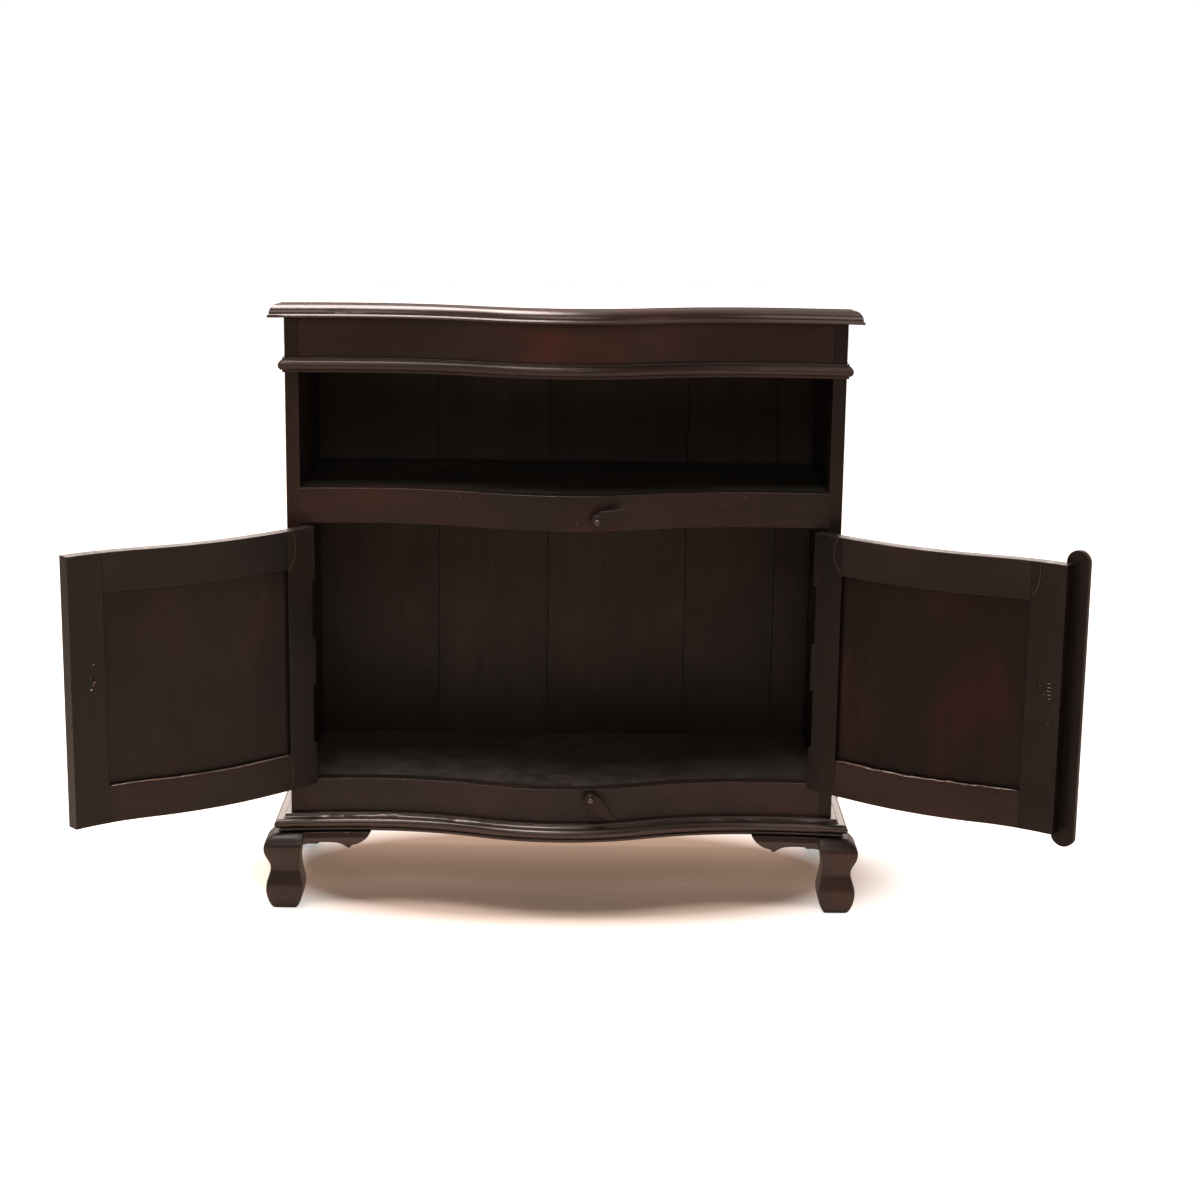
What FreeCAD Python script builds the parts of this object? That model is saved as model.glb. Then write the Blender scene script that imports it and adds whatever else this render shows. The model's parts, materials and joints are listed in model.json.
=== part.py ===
import FreeCAD, Part
import math
import operator
import os

import Sketcher
from FreeCAD import Placement, Rotation, Vector

# Serpentine cabinet with an open niche over a cupboard, shown with both doors swung open.
# Millimetres, +Z up, front towards -Y. The origin is on the floor under the middle of the case.

os.makedirs("parts", exist_ok=True)
doc = FreeCAD.newDocument("cabinet")
sheet = doc.addObject("Spreadsheet::Sheet", "Sizes")

sizes = {
    # Case, its heights stacked up from the floor
    "case_width": 836.0,
    "case_depth": 294.0,
    "foot_height": 120.0,
    "base_rail_height": 80.0,
    "door_space_height": 403.0,
    "middle_rail_height": 53.0,
    "niche_height": 175.0,
    "frieze_height": 83.0,
    "top_thickness": 21.0,
    # Serpentine front: a middle bulge between two hollows that flatten towards the ends
    "hollow_place": 290.0,
    "bulge_rise": 50.0,
    "bulge_radius": 360.0,
    "outer_hollow_radius": 1000.0,
    # Boards
    "side_thickness": 20.0,
    "rail_thickness": 22.0,
    "shelf_thickness": 17.0,
    "shelf_drop": 1.0,
    "back_thickness": 10.0,
    "back_inset": 4.0,
    "rebate_width": 9.0,
    "top_overhang": 22.0,
    "top_back_overhang": 4.0,
    # Mouldings
    "bead_height": 22.0,
    "bead_reach": 9.0,
    "base_moulding_height": 27.0,
    "base_moulding_reach": 24.0,
    # Feet and their brackets
    "foot_reach": 41.0,
    "foot_inset": 22.0,
    "back_foot_extra": 16.0,
    "foot_column": 35.0,
    "bracket_length": 112.0,
    "bracket_drop": 32.0,
    "bracket_reach": 25.0,
    # Doors
    "door_thickness": 20.0,
    "door_gap": 1.5,
    "hinge_gap": 0.5,
    "hinge_stile_width": 52.0,
    "meeting_stile_width": 54.0,
    "door_top_rail_width": 58.0,
    "door_bottom_rail_width": 56.0,
    "panel_thickness": 8.0,
    "panel_recess": 6.0,
    "panel_tongue": 6.0,
    "left_door_angle": 137.0,
    "right_door_angle": 141.4,
    # Cover strip on the right door
    "strip_width": 36.0,
    "strip_seat": 12.0,
    "strip_thickness": 8.0,
    "strip_top_rise": 19.5,
    "strip_bottom_drop": 21.5,
    "strip_nose_height": 12.0,
    "strip_clearance": 0.35,
    # Butt hinges
    "hinge_height": 90.0,
    "upper_hinge_drop": 126.5,
    "lower_hinge_rise": 110.5,
    "knuckle_radius": 4.5,
    "knuckle_stand_off": 5.0,
    "knuckle_play": 0.3,
    "leaf_thickness": 2.5,
    "leaf_gap": 1.0,
    "case_leaf_width": 24.0,
    "door_leaf_inset": 1.0,
    "mortise_play": 0.5,
    "pin_radius": 2.0,
    "pin_play": 0.05,
    "pin_head_height": 1.5,
    "pin_head_radius": 3.2,
    "screw_head_radius": 3.4,
    "screw_radius": 1.8,
    "screw_depth": 10.0,
    "screw_spread": 30.0,
    "screw_place": 12.0,
    # Turn buttons
    "upper_button_place": 49.0,
    "upper_button_rise": 16.5,
    "lower_button_place": 44.0,
    "lower_button_drop": 13.0,
    "button_boss_radius": 10.5,
    "button_leaf_thickness": 5.5,
    "button_leaf_length": 46.0,
    "button_leaf_height": 18.0,
    "button_clearance": 0.35,
    "upper_button_angle": 4.0,
    "lower_button_angle": -59.0,
    "button_screw_radius": 2.2,
    "button_screw_play": 0.05,
    "button_screw_head_radius": 4.6,
    "button_screw_head_height": 2.4,
    "button_screw_depth": 14.0,
    # Knobs
    "knob_place": 36.0,
    "knob_height": 420.0,
    "knob_radius": 9.5,
    "knob_length": 19.0,
    "knob_rose_radius": 7.0,
    "knob_rose_height": 1.6,
    "knob_neck_radius": 3.6,
    "knob_shank_radius": 2.5,
    "knob_shank_end": 2.0,
    # Iron plate on the bottom board
    "plate_length": 29.0,
    "plate_width": 17.0,
    "plate_thickness": 1.5,
    "plate_place": 2.5,
    "plate_gap": 1.0,
    "plate_seat": 1.0,
}
for row, (alias, value) in enumerate(sizes.items(), start=1):
    sheet.set("A%d" % row, alias)
    sheet.set("B%d" % row, str(value))
    sheet.setAlias("B%d" % row, alias)
doc.recompute()

# Shares of a moulding's reach and height, from its lowest point up. A single pair is a straight
# run to it, and a pair of pairs is an arc through the first of them to the second.
top_shares = (
    (0.92, 0.0), ((1.0, 0.10), (0.92, 0.20)), (0.88, 0.24), ((0.68, 0.76), (0.18, 0.95)), (0.18, 1.0),
)
bead_shares = ((0.35, 0.0), (0.35, 0.14), ((1.0, 0.50), (0.35, 0.86)), (0.35, 1.0))
base_shares = (
    (0.58, 0.0), (0.58, 0.02), ((0.74, 0.13), (0.60, 0.25)), (0.58, 0.30), ((1.0, 0.54), (0.62, 0.78)),
    (0.56, 0.78), ((0.42, 0.82), (0.33, 0.92)), (0.33, 1.0),
)
bracket_face_shares = ((0.15, 0.0), ((0.84, 0.38), (1.0, 0.74)), (0.92, 1.0))
# Shares of a foot's reach out of the case, or of its inset under it, and of its height
foot_outer_shares = ((0.58, 1.0), (0.70, 0.93), (1.0, 0.79), (0.72, 0.55), (0.89, 0.29), (0.66, 0.0))
foot_inner_shares = ((0.48, 0.0), (0.95, 0.33), (0.73, 0.62), (0.90, 0.835))
# Shares of a bracket's length and drop along its arch, its drop and its end
bracket_shares = ((0.30, 0.50), (0.50, 0.52), (0.62, 0.68), (0.685, 0.97),
                  (0.74, 0.70), (0.90, 0.42), (1.0, 0.0))
# Shares of a button leaf's length and height: heel, toe, belly, chin and the slack under it
leaf_shares = ((0.08, 0.90), (1.0, 1.0), (0.80, 0.30), (0.48, -0.22), (0.25, -0.50))
# Steps along a mitre between its inner and outer end
mitre_steps = 8
# Places of the back boards' seams across the case
seam_shares = (0.0, 0.247, 0.466, 0.741, 0.92, 1.0)
# Shares of a knob's length where its neck starts, its neck ends and its ball is widest
knob_shares = (0.24, 0.38, 0.70)
rose_share = 0.62
# Where the cover strip's lower end bends, as shares of half its width and of the nose's height
nose_shares = (0.62, 0.28)
# Where a domed head bends, as shares of its radius and height
dome_shares = (0.78, 0.68)
# Flat crown of a knob or a domed head, as a share of its radius
crown_share = 0.3


class Size:
    # A length that knows its number and the formula that works it out from the sheet
    def __init__(self, number, formula):
        self.number = number
        self.formula = formula

    def __add__(self, other):
        return combine(self, "+", other)

    def __sub__(self, other):
        return combine(self, "-", other)

    def __mul__(self, other):
        return combine(self, "*", other)

    def __truediv__(self, other):
        return combine(self, "/", other)

    def __neg__(self):
        return combine(nothing, "-", self)


signs = {"+": operator.add, "-": operator.sub, "*": operator.mul, "/": operator.truediv}
nothing = Size(0.0, "0")
pivot_circle = 2 * math.pi


def asSize(value):
    return value if isinstance(value, Size) else Size(float(value), "(%r)" % value)


def combine(first, sign, second):
    first, second = asSize(first), asSize(second)
    formula = "(%s %s %s)" % (first.formula, sign, second.formula)
    return Size(signs[sign](first.number, second.number), formula)


def root(value):
    return Size(math.sqrt(value.number), "sqrt(%s)" % value.formula)


def cell(alias):
    return Size(float(sheet.get(alias)), "Sizes.%s" % alias)


def number(alias):
    return float(sheet.get(alias))


# Levels
case_bottom = cell("foot_height")
base_rail_top = case_bottom + cell("base_rail_height")
middle_rail_bottom = base_rail_top + cell("door_space_height")
middle_rail_top = middle_rail_bottom + cell("middle_rail_height")
niche_top = middle_rail_top + cell("niche_height")
case_top = niche_top + cell("frieze_height")
door_bottom = base_rail_top + cell("door_gap")
door_top = middle_rail_bottom - cell("door_gap")

# Plan of the case
half_width = cell("case_width") / 2
inner_x = half_width - cell("side_thickness")
front_end_y = -(cell("case_depth") / 2)
back_y = cell("case_depth") / 2
back_face_y = back_y - cell("back_inset") - cell("back_thickness")

# Front curve: the bulge is one arc about the middle, each hollow two arcs that meet where it is deepest
bulge_radius = cell("bulge_radius")
outer_radius = cell("outer_hollow_radius")
hollow_x = cell("hollow_place")
rise = cell("bulge_rise")
arc_sum = (hollow_x * hollow_x + rise * rise) / (rise * 2)
hollow_radius = arc_sum - bulge_radius
past_hollow = half_width - hollow_x
outer_centre_y = front_end_y - root(outer_radius * outer_radius - past_hollow * past_hollow)
hollow_centre_y = outer_centre_y + outer_radius - hollow_radius
bulge_centre_y = outer_centre_y + outer_radius - rise + bulge_radius
lean = math.asin(hollow_x.number / arc_sum.number)


def stretches(offset):
    # The arcs of the front face moved out by offset, from left to right:
    # centre, radius, first and last x, and whether the arc bulges
    turn_x = (bulge_radius.number + offset.number) * math.sin(lean)
    deep_x = hollow_x.number
    outer, hollow, bulge = outer_radius - offset, hollow_radius - offset, bulge_radius + offset
    return (
        (-hollow_x, outer_centre_y, outer, -math.inf, -deep_x, False),
        (-hollow_x, hollow_centre_y, hollow, -deep_x, -turn_x, False),
        (nothing, bulge_centre_y, bulge, -turn_x, turn_x, True),
        (hollow_x, hollow_centre_y, hollow, turn_x, deep_x, False),
        (hollow_x, outer_centre_y, outer, deep_x, math.inf, False),
    )


def faceY(x, offset=nothing):
    # Where the front face moved out by offset lies at x
    for centre_x, centre_y, radius, start, stop, bulging in stretches(offset):
        if start <= x <= stop:
            across = math.sqrt(radius.number ** 2 - (x - centre_x.number) ** 2)
            return centre_y.number - across if bulging else centre_y.number + across


def bulgeY(x):
    # The same on the bulge, as a size
    return bulge_centre_y - root(bulge_radius * bulge_radius - x * x)


def curveParts(low_x, high_x, offset):
    # The arcs that a face from low_x to high_x is made of
    for centre_x, centre_y, radius, start, stop, bulging in stretches(offset):
        left, right = max(start, low_x), min(stop, high_x)
        if left < right:
            yield centre_x, centre_y, radius, left, right, bulging


nodes = {}


def keep(label, thing):
    thing.Label = label
    nodes[label] = thing


def shaped(label, shape, placement=None):
    feature = doc.addObject("Part::Feature", label)
    feature.Shape = shape
    if placement is not None:
        feature.Placement = placement
    keep(label, feature)


def bind(thing, prop, size):
    thing.setExpression(prop, size.formula)


def place(thing, x, y, z):
    bind(thing, "Placement.Base.x", x)
    bind(thing, "Placement.Base.y", y)
    bind(thing, "Placement.Base.z", z)


# Sketched boards
def fix(sketch, kind, geometry, point, size):
    index = sketch.addConstraint(Sketcher.Constraint(kind, -1, 1, geometry, point, size.number))
    bind(sketch, "Constraints[%d]" % index, size)


def join(sketch, first, second):
    sketch.addConstraint(Sketcher.Constraint("Coincident", *first, *second))


def addLine(sketch, start, end):
    return sketch.addGeometry(Part.LineSegment(Vector(*start, 0), Vector(*end, 0)), False)


def addCurve(sketch, low_x, high_x, offset, origin):
    # One face of a curved board. Returns its left and right ends as (geometry, point)
    arcs = []
    for centre_x, centre_y, radius, left, right, bulging in curveParts(low_x.number, high_x.number, offset):
        centre = Vector(centre_x.number - origin[0].number, centre_y.number - origin[1].number, 0)
        spans = [math.asin((x - centre_x.number) / radius.number) for x in (left, right)]
        circle = Part.Circle(centre, Vector(0, 0, 1), radius.number)
        if bulging:
            angles, ends = (spans[0] - math.pi / 2, spans[1] - math.pi / 2), (1, 2)
        else:
            angles, ends = (math.pi / 2 - spans[1], math.pi / 2 - spans[0]), (2, 1)
        index = sketch.addGeometry(Part.ArcOfCircle(circle, *angles), False)
        size_index = sketch.addConstraint(Sketcher.Constraint("Radius", index, radius.number))
        bind(sketch, "Constraints[%d]" % size_index, radius)
        fix(sketch, "DistanceX", index, 3, centre_x - origin[0])
        arcs.append((index, *ends, bulging, centre_y))
    main = next((arc for arc in arcs if arc[3]), arcs[0])
    fix(sketch, "DistanceY", main[0], 3, main[4] - origin[1])
    for first, second in zip(arcs, arcs[1:]):
        sketch.addConstraint(Sketcher.Constraint("Tangent", first[0], first[2], second[0], second[1]))
    return (arcs[0][0], arcs[0][1]), (arcs[-1][0], arcs[-1][2])


def startBody(label, low_z):
    body = doc.addObject("PartDesign::Body", label)
    sketch = body.newObject("Sketcher::SketchObject", label + "_outline")
    plane = next(f for f in body.Origin.OriginFeatures if f.Role == "XY_Plane")
    sketch.AttachmentSupport = (plane, [""])
    sketch.MapMode = "FlatFace"
    bind(sketch, "AttachmentOffset.Base.z", low_z)
    return body, sketch


def padBody(body, sketch, height):
    pad = body.newObject("PartDesign::Pad", body.Name + "_pad")
    pad.Profile = sketch
    bind(pad, "Length", height)
    body.Tip = pad
    return body


case_origin = (nothing, nothing)


def curvedBoard(label, low_x, high_x, front, thickness, low_z, high_z, origin=case_origin):
    # A board sawn to the front curve on both faces, its outer face moved out by front
    body, sketch = startBody(label, low_z)
    back = front - thickness
    left, right = addCurve(sketch, low_x, high_x, front, origin)
    back_left, back_right = addCurve(sketch, low_x, high_x, back, origin)
    for x, one, other in ((low_x, left, back_left), (high_x, right, back_right)):
        at = x.number - origin[0].number
        start = faceY(x.number, front) - origin[1].number
        end = faceY(x.number, back) - origin[1].number
        line = addLine(sketch, (at, start), (at, end))
        join(sketch, (line, 1), one)
        join(sketch, (line, 2), other)
        sketch.addConstraint(Sketcher.Constraint("Vertical", line))
        fix(sketch, "DistanceX", line, 1, x - origin[0])
    return padBody(body, sketch, high_z - low_z)


def outlinedBoard(label, low_x, high_x, front, corners, low_z, high_z):
    # A board with a curved front edge. corners runs from the right end round to the left end
    body, sketch = startBody(label, low_z)
    left, right = addCurve(sketch, low_x, high_x, front, case_origin)
    points = [(high_x, None), *corners, (low_x, None)]
    places = [(x.number, faceY(x.number, front) if y is None else y.number) for x, y in points]
    lines = [addLine(sketch, a, b) for a, b in zip(places, places[1:])]
    join(sketch, (lines[0], 1), right)
    join(sketch, (lines[-1], 2), left)
    for first, second in zip(lines, lines[1:]):
        join(sketch, (first, 2), (second, 1))
    for index, line in enumerate(lines):
        upright = points[index][0].number == points[index + 1][0].number
        sketch.addConstraint(Sketcher.Constraint("Vertical" if upright else "Horizontal", line))
        if upright:
            fix(sketch, "DistanceX", line, 2, points[index][0])
        else:
            fix(sketch, "DistanceY", line, 2, points[index][1])
    return padBody(body, sketch, high_z - low_z)


def plainBoard(label, low, high):
    # A straight board between two corners
    box = doc.addObject("Part::Box", label)
    for prop, start, end in zip(("Length", "Width", "Height"), low, high):
        bind(box, prop, end - start)
    place(box, *low)
    return box


def borer(label, radius, length, base, direction):
    # A round cutter along direction from base
    drill = doc.addObject("Part::Cylinder", label)
    bind(drill, "Radius", radius)
    bind(drill, "Height", length)
    drill.Placement = Placement(Vector(), Rotation(Vector(0, 0, 1), direction))
    place(drill, *base)
    return drill


def cutAway(label, base, tools):
    group = doc.addObject("Part::Compound", label + "_cutters")
    group.Links = tools
    cut = doc.addObject("Part::Cut", label)
    cut.Base = base
    cut.Tool = group
    return cut


# Hinge places. The pivot stands in front of the case's ends
door_edge_x = inner_x - cell("hinge_gap")
pivot_x = inner_x - cell("leaf_thickness") - cell("leaf_gap") / 2
pivot_y = front_end_y - cell("knuckle_stand_off")
hinge_middles = (door_bottom + cell("lower_hinge_rise"), door_top - cell("upper_hinge_drop"))
half_hinge = cell("hinge_height") / 2
screw_steps = (-cell("screw_spread"), nothing, cell("screw_spread"))
screw_y = cell("knuckle_stand_off") + cell("screw_place")


# Case boards
def makeSide(label, side):
    rebate_x = inner_x + cell("rebate_width")
    if side > 0:
        corners = [(half_width, back_y), (rebate_x, back_y), (rebate_x, back_face_y), (inner_x, back_face_y)]
        low_x, high_x = inner_x, half_width
    else:
        corners = [(-inner_x, back_face_y), (-rebate_x, back_face_y),
                   (-rebate_x, back_y), (-half_width, back_y)]
        low_x, high_x = -half_width, -inner_x
    board = outlinedBoard(label + "_board", low_x, high_x, nothing, corners, case_bottom, case_top)
    holes = []
    for middle in hinge_middles:
        for step in screw_steps:
            base = (inner_x * side, pivot_y + screw_y, middle + step)
            name = "%s_hole_%d" % (label, len(holes) + 1)
            holes.append(borer(name, cell("screw_radius"), cell("screw_depth"), base, Vector(side, 0, 0)))
    keep(label, cutAway(label, board, holes))


def makeBackBoards():
    # Five upright boards of uneven width, as their seams show
    wide = inner_x + cell("rebate_width")
    for count, (start, end) in enumerate(zip(seam_shares, seam_shares[1:]), start=1):
        low = (wide * (2 * start) - wide, back_face_y, case_bottom)
        high = (wide * (2 * end) - wide, back_face_y + cell("back_thickness"), case_top)
        label = "back_board_%d" % count
        keep(label, plainBoard(label, low, high))


def makeShelf(label, top, seats=()):
    corners = [(inner_x, back_face_y), (-inner_x, back_face_y)]
    high_z = top - cell("shelf_drop")
    front = -cell("rail_thickness")
    low_z = high_z - cell("shelf_thickness")
    name = label + "_board" if seats else label
    board = outlinedBoard(name, -inner_x, inner_x, front, corners, low_z, high_z)
    keep(label, cutAway(label, board, list(seats)) if seats else board)


def makeRail(label, low_z, high_z, holes=()):
    name = label + "_board" if holes else label
    rail = curvedBoard(name, -inner_x, inner_x, nothing, cell("rail_thickness"), low_z, high_z)
    keep(label, cutAway(label, rail, list(holes)) if holes else rail)


# Mouldings
def outlineFrom(shares, reach, low, tall):
    outline = []
    for step in shares:
        if isinstance(step[0], tuple):
            outline.append(tuple((reach * u, low + tall * v) for u, v in step))
        else:
            outline.append((reach * step[0], low + tall * step[1]))
    return outline


def lastPoint(outline):
    return outline[-1][1] if isinstance(outline[-1][0], tuple) else outline[-1]


def arcEdge(first, middle, last):
    return Part.Arc(first, middle, last).toShape()


def outlineEdges(outline, at):
    here = at(*outline[0])
    edges = []
    for step in outline[1:]:
        if isinstance(step[0], tuple):
            there = at(*step[1])
            edges.append(arcEdge(here, at(*step[0]), there))
        else:
            there = at(*step)
            edges.append(Part.LineSegment(here, there).toShape())
        here = there
    return edges


def lineEdges(points):
    return [Part.LineSegment(a, b).toShape() for a, b in zip(points, points[1:])]


def faceOf(edges):
    return Part.Face(Part.Wire(Part.__sortEdges__(edges)))


def sectionFace(outline, inner, at):
    low, high = outline[0], lastPoint(outline)
    closing = lineEdges([at(*high), at(inner, high[1]), at(inner, low[1]), at(*low)])
    return faceOf(outlineEdges(outline, at) + closing)


def frontSweep(outline, inner, extra):
    # The section turned about the centre of each arc of the front curve, out to extra past the ends
    up = Vector(0, 0, 1)
    pieces = []
    outer_turn = math.asin((past_hollow.number + extra) / (outer_radius.number - extra))
    turns = ((0.0, outer_turn), (-lean, lean), (-lean, 2 * lean), (0.0, lean), (-outer_turn, outer_turn))
    for (centre_x, centre_y, radius, start, stop, bulging), (first, turn) in zip(stretches(nothing), turns):
        centre = Vector(centre_x.number, centre_y.number, 0)
        front_y = centre.y - radius.number if bulging else centre.y + radius.number
        face = sectionFace(outline, inner, lambda reach, z: Vector(centre.x, front_y - reach, z))
        face.rotate(centre, up, math.degrees(first))
        pieces.append(face.revolve(centre, up, math.degrees(turn)))
    return pieces


def curveEdges(low_x, high_x, offset, z):
    edges = []
    for centre_x, centre_y, radius, left, right, bulging in curveParts(low_x, high_x, offset):
        edges.append(arcEdge(*[Vector(x, faceY(x, offset), z) for x in (left, (left + right) / 2, right)]))
    return edges


def planPrism(offset, wide, back, low_z, high_z):
    # Everything behind the front curve moved out by offset, out to wide on both sides
    ends = [Vector(x, faceY(x, offset), low_z) for x in (-wide, wide)]
    loop = [ends[1], Vector(wide, back, low_z), Vector(-wide, back, low_z), ends[0]]
    face = faceOf(curveEdges(-wide, wide, offset, low_z) + lineEdges(loop))
    return face.extrude(Vector(0, 0, high_z - low_z))


def curveSlab(low_x, high_x, outer, inner, low_z, high_z):
    # A piece between two offsets of the front curve
    edges = curveEdges(low_x, high_x, outer, low_z) + curveEdges(low_x, high_x, inner, low_z)
    for x in (low_x, high_x):
        edges += lineEdges([Vector(x, faceY(x, outer), low_z), Vector(x, faceY(x, inner), low_z)])
    return faceOf(edges).extrude(Vector(0, 0, high_z - low_z))


def smooth(points):
    curve = Part.BSplineCurve()
    curve.interpolate(points)
    return curve.toShape()


def mitreZone(span, low_z, high_z):
    # Everything in front of the two mitres, which run through the crossings of equal offsets
    half, depth = half_width.number, number("case_depth")
    edges = []
    ends = []
    for side in (-1, 1):
        offsets = [span * (2 * index / mitre_steps - 1) for index in range(mitre_steps + 1)]
        points = [Vector(side * (half + out), faceY(half + out, asSize(out)), low_z) for out in offsets]
        edges.append(smooth(points))
        inner, outer = points[0], points[-1]
        ends.append((Vector(inner.x, 0, low_z), inner, outer, Vector(outer.x, -2 * depth, low_z)))
    for inner_end, inner, outer, outer_end in ends:
        edges += lineEdges([inner_end, inner]) + lineEdges([outer, outer_end])
    edges += lineEdges([ends[0][0], ends[1][0]]) + lineEdges([ends[0][3], ends[1][3]])
    return faceOf(edges).extrude(Vector(0, 0, high_z - low_z))


def mouldingLengths(outline, reach, inner, back):
    # A front length and a left and a right one, mitred at the case's corners
    low_z, high_z = outline[0][1], lastPoint(outline)[1]
    half, depth = half_width.number, number("case_depth")
    zone = mitreZone(2 * reach, low_z - reach, high_z + reach)
    pieces = frontSweep(outline, inner, 2 * reach)
    lengths = [pieces[0].multiFuse(pieces[1:]).removeSplitter().common(zone).Solids[0]]
    for side in (-1, 1):
        section = sectionFace(outline, inner, lambda out, z: Vector(side * (half + out), -depth, z))
        lengths.append(section.extrude(Vector(0, depth + back, 0)).cut(zone).Solids[0])
    return lengths


def makeTop(label, outline, reach):
    # A board whose front and side edges carry the moulding
    low_z, high_z = outline[0][1], lastPoint(outline)[1]
    back = back_y.number + number("top_back_overhang")
    inset = -cell("rail_thickness")
    core = planPrism(inset / 2, half_width.number, back, low_z, high_z)
    board = core.multiFuse(mouldingLengths(outline, reach, inset.number, back))
    shaped(label, board.removeSplitter().Solids[0])


def plantMoulding(prefix, outline, reach):
    # A moulding round the front and the sides of the case
    lengths = mouldingLengths(outline, reach, 0.0, back_y.number)
    for name, length in zip(("_front", "_left", "_right"), lengths):
        shaped(prefix + name, length)


# Feet: the same S outline sawn from two sides of one block
foot_seat = number("foot_reach") * foot_outer_shares[0][0] - number("foot_column")
foot_shoulder = number("foot_height") * (1 - foot_inner_shares[-1][1])


def insetOf(flat_back):
    # A foot with a flat back reaches further under the case instead
    return number("foot_inset") + (number("back_foot_extra") if flat_back else 0.0)


def footOutline(at, flat_back):
    tall, out, inset = number("foot_height"), number("foot_reach"), insetOf(flat_back)
    outer = [at(0.0 if flat_back else out * u, tall * z) for u, z in foot_outer_shares]
    inner = [at(-inset * u, tall * z) for u, z in foot_inner_shares]
    edges = lineEdges([outer[0], outer[-1]]) if flat_back else [smooth(outer)]
    edges += [smooth(inner)] + lineEdges([outer[-1], inner[0]])
    shoulder = tall - foot_shoulder
    return faceOf(edges + lineEdges([inner[-1], at(foot_seat, shoulder), at(foot_seat, tall), outer[0]]))


def makeFoot(label, side, end):
    # side is -1 left or 1 right, end is -1 front or 1 back
    corner_x, corner_y = side * half_width.number, end * back_y.number
    spread = number("foot_reach") + insetOf(True)
    across = footOutline(lambda out, z: Vector(corner_x + side * out, corner_y - spread, z), False)
    along = footOutline(lambda out, z: Vector(corner_x - spread, corner_y + end * out, z), end > 0)
    block = across.extrude(Vector(0, 2 * spread, 0)).common(along.extrude(Vector(2 * spread, 0, 0)))
    shaped(label, block.Solids[0])


# Brackets: an arch and a drop beside each foot
def bracketOutline(at, flat_back):
    # Measured from the foot's column along the case, and down from the case
    long, drop = number("bracket_length"), number("bracket_drop")
    foot_side = insetOf(flat_back) * foot_inner_shares[-1][0] + foot_seat
    start, seat, seat_end = at(0.0, 0.0), at(0.0, -foot_shoulder), at(foot_side, -foot_shoulder)
    marks = [at(long * u, -drop * v) for u, v in bracket_shares]
    arch_top, arch_end, bend, drop_tip, drop_side, belly, end = marks
    edges = lineEdges([start, seat, seat_end]) + lineEdges([drop_tip, drop_side]) + lineEdges([end, start])
    edges.append(arcEdge(seat_end, arch_top, arch_end))
    edges.append(arcEdge(arch_end, bend, drop_tip))
    edges.append(arcEdge(drop_side, belly, end))
    return faceOf(edges)


def bracketSection():
    drop = number("bracket_drop")
    return outlineFrom(bracket_face_shares, number("bracket_reach"), case_bottom.number - drop, drop)


def makeFrontBracket(label, side):
    column, depth, top = half_width.number + foot_seat, number("case_depth"), case_bottom.number
    face = bracketOutline(lambda run, z: Vector(side * (column - run), -depth, top + z), False)
    slab = face.extrude(Vector(0, depth, 0))
    # On a narrow case the bracket runs on past the outer arc, so each arc's share of it is joined
    sweeps = frontSweep(bracketSection(), foot_seat, number("foot_reach"))
    lengths = [solid for sweep in sweeps for solid in slab.common(sweep).Solids]
    whole = lengths[0].multiFuse(lengths[1:]) if len(lengths) > 1 else lengths[0]
    shaped(label, whole)


def makeSideBracket(label, side, end):
    column, wide, top = back_y.number + foot_seat, half_width.number, case_bottom.number
    face = bracketOutline(lambda run, z: Vector(side * wide / 2, end * (column - run), top + z), end > 0)
    slab = face.extrude(Vector(side * wide, 0, 0))
    section = sectionFace(bracketSection(), foot_seat, lambda out, z: Vector(side * (wide + out), -wide, z))
    shaped(label, slab.common(section.extrude(Vector(0, 2 * wide, 0))).Solids[0])


# Doors, built closed about their own pivot and then swung open
openings = {-1: cell("left_door_angle"), 1: cell("right_door_angle")}


def swung(side):
    pivot = Vector(side * pivot_x.number, pivot_y.number, 0)
    return Placement(pivot, Rotation(Vector(0, 0, side), openings[side].number))


def swing(side, label, thing):
    thing.Placement = swung(side)
    bind(thing, "Placement.Rotation.Angle", openings[side])
    place(thing, pivot_x * side, pivot_y, nothing)
    keep(label, thing)


# Knobs stand square to the bulging face
knob_x = cell("door_gap") / 2 + cell("knob_place")


def knobWay(side):
    turn = math.asin(knob_x.number / bulge_radius.number)
    return Vector(side * math.sin(turn), -math.cos(turn), 0)


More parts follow.
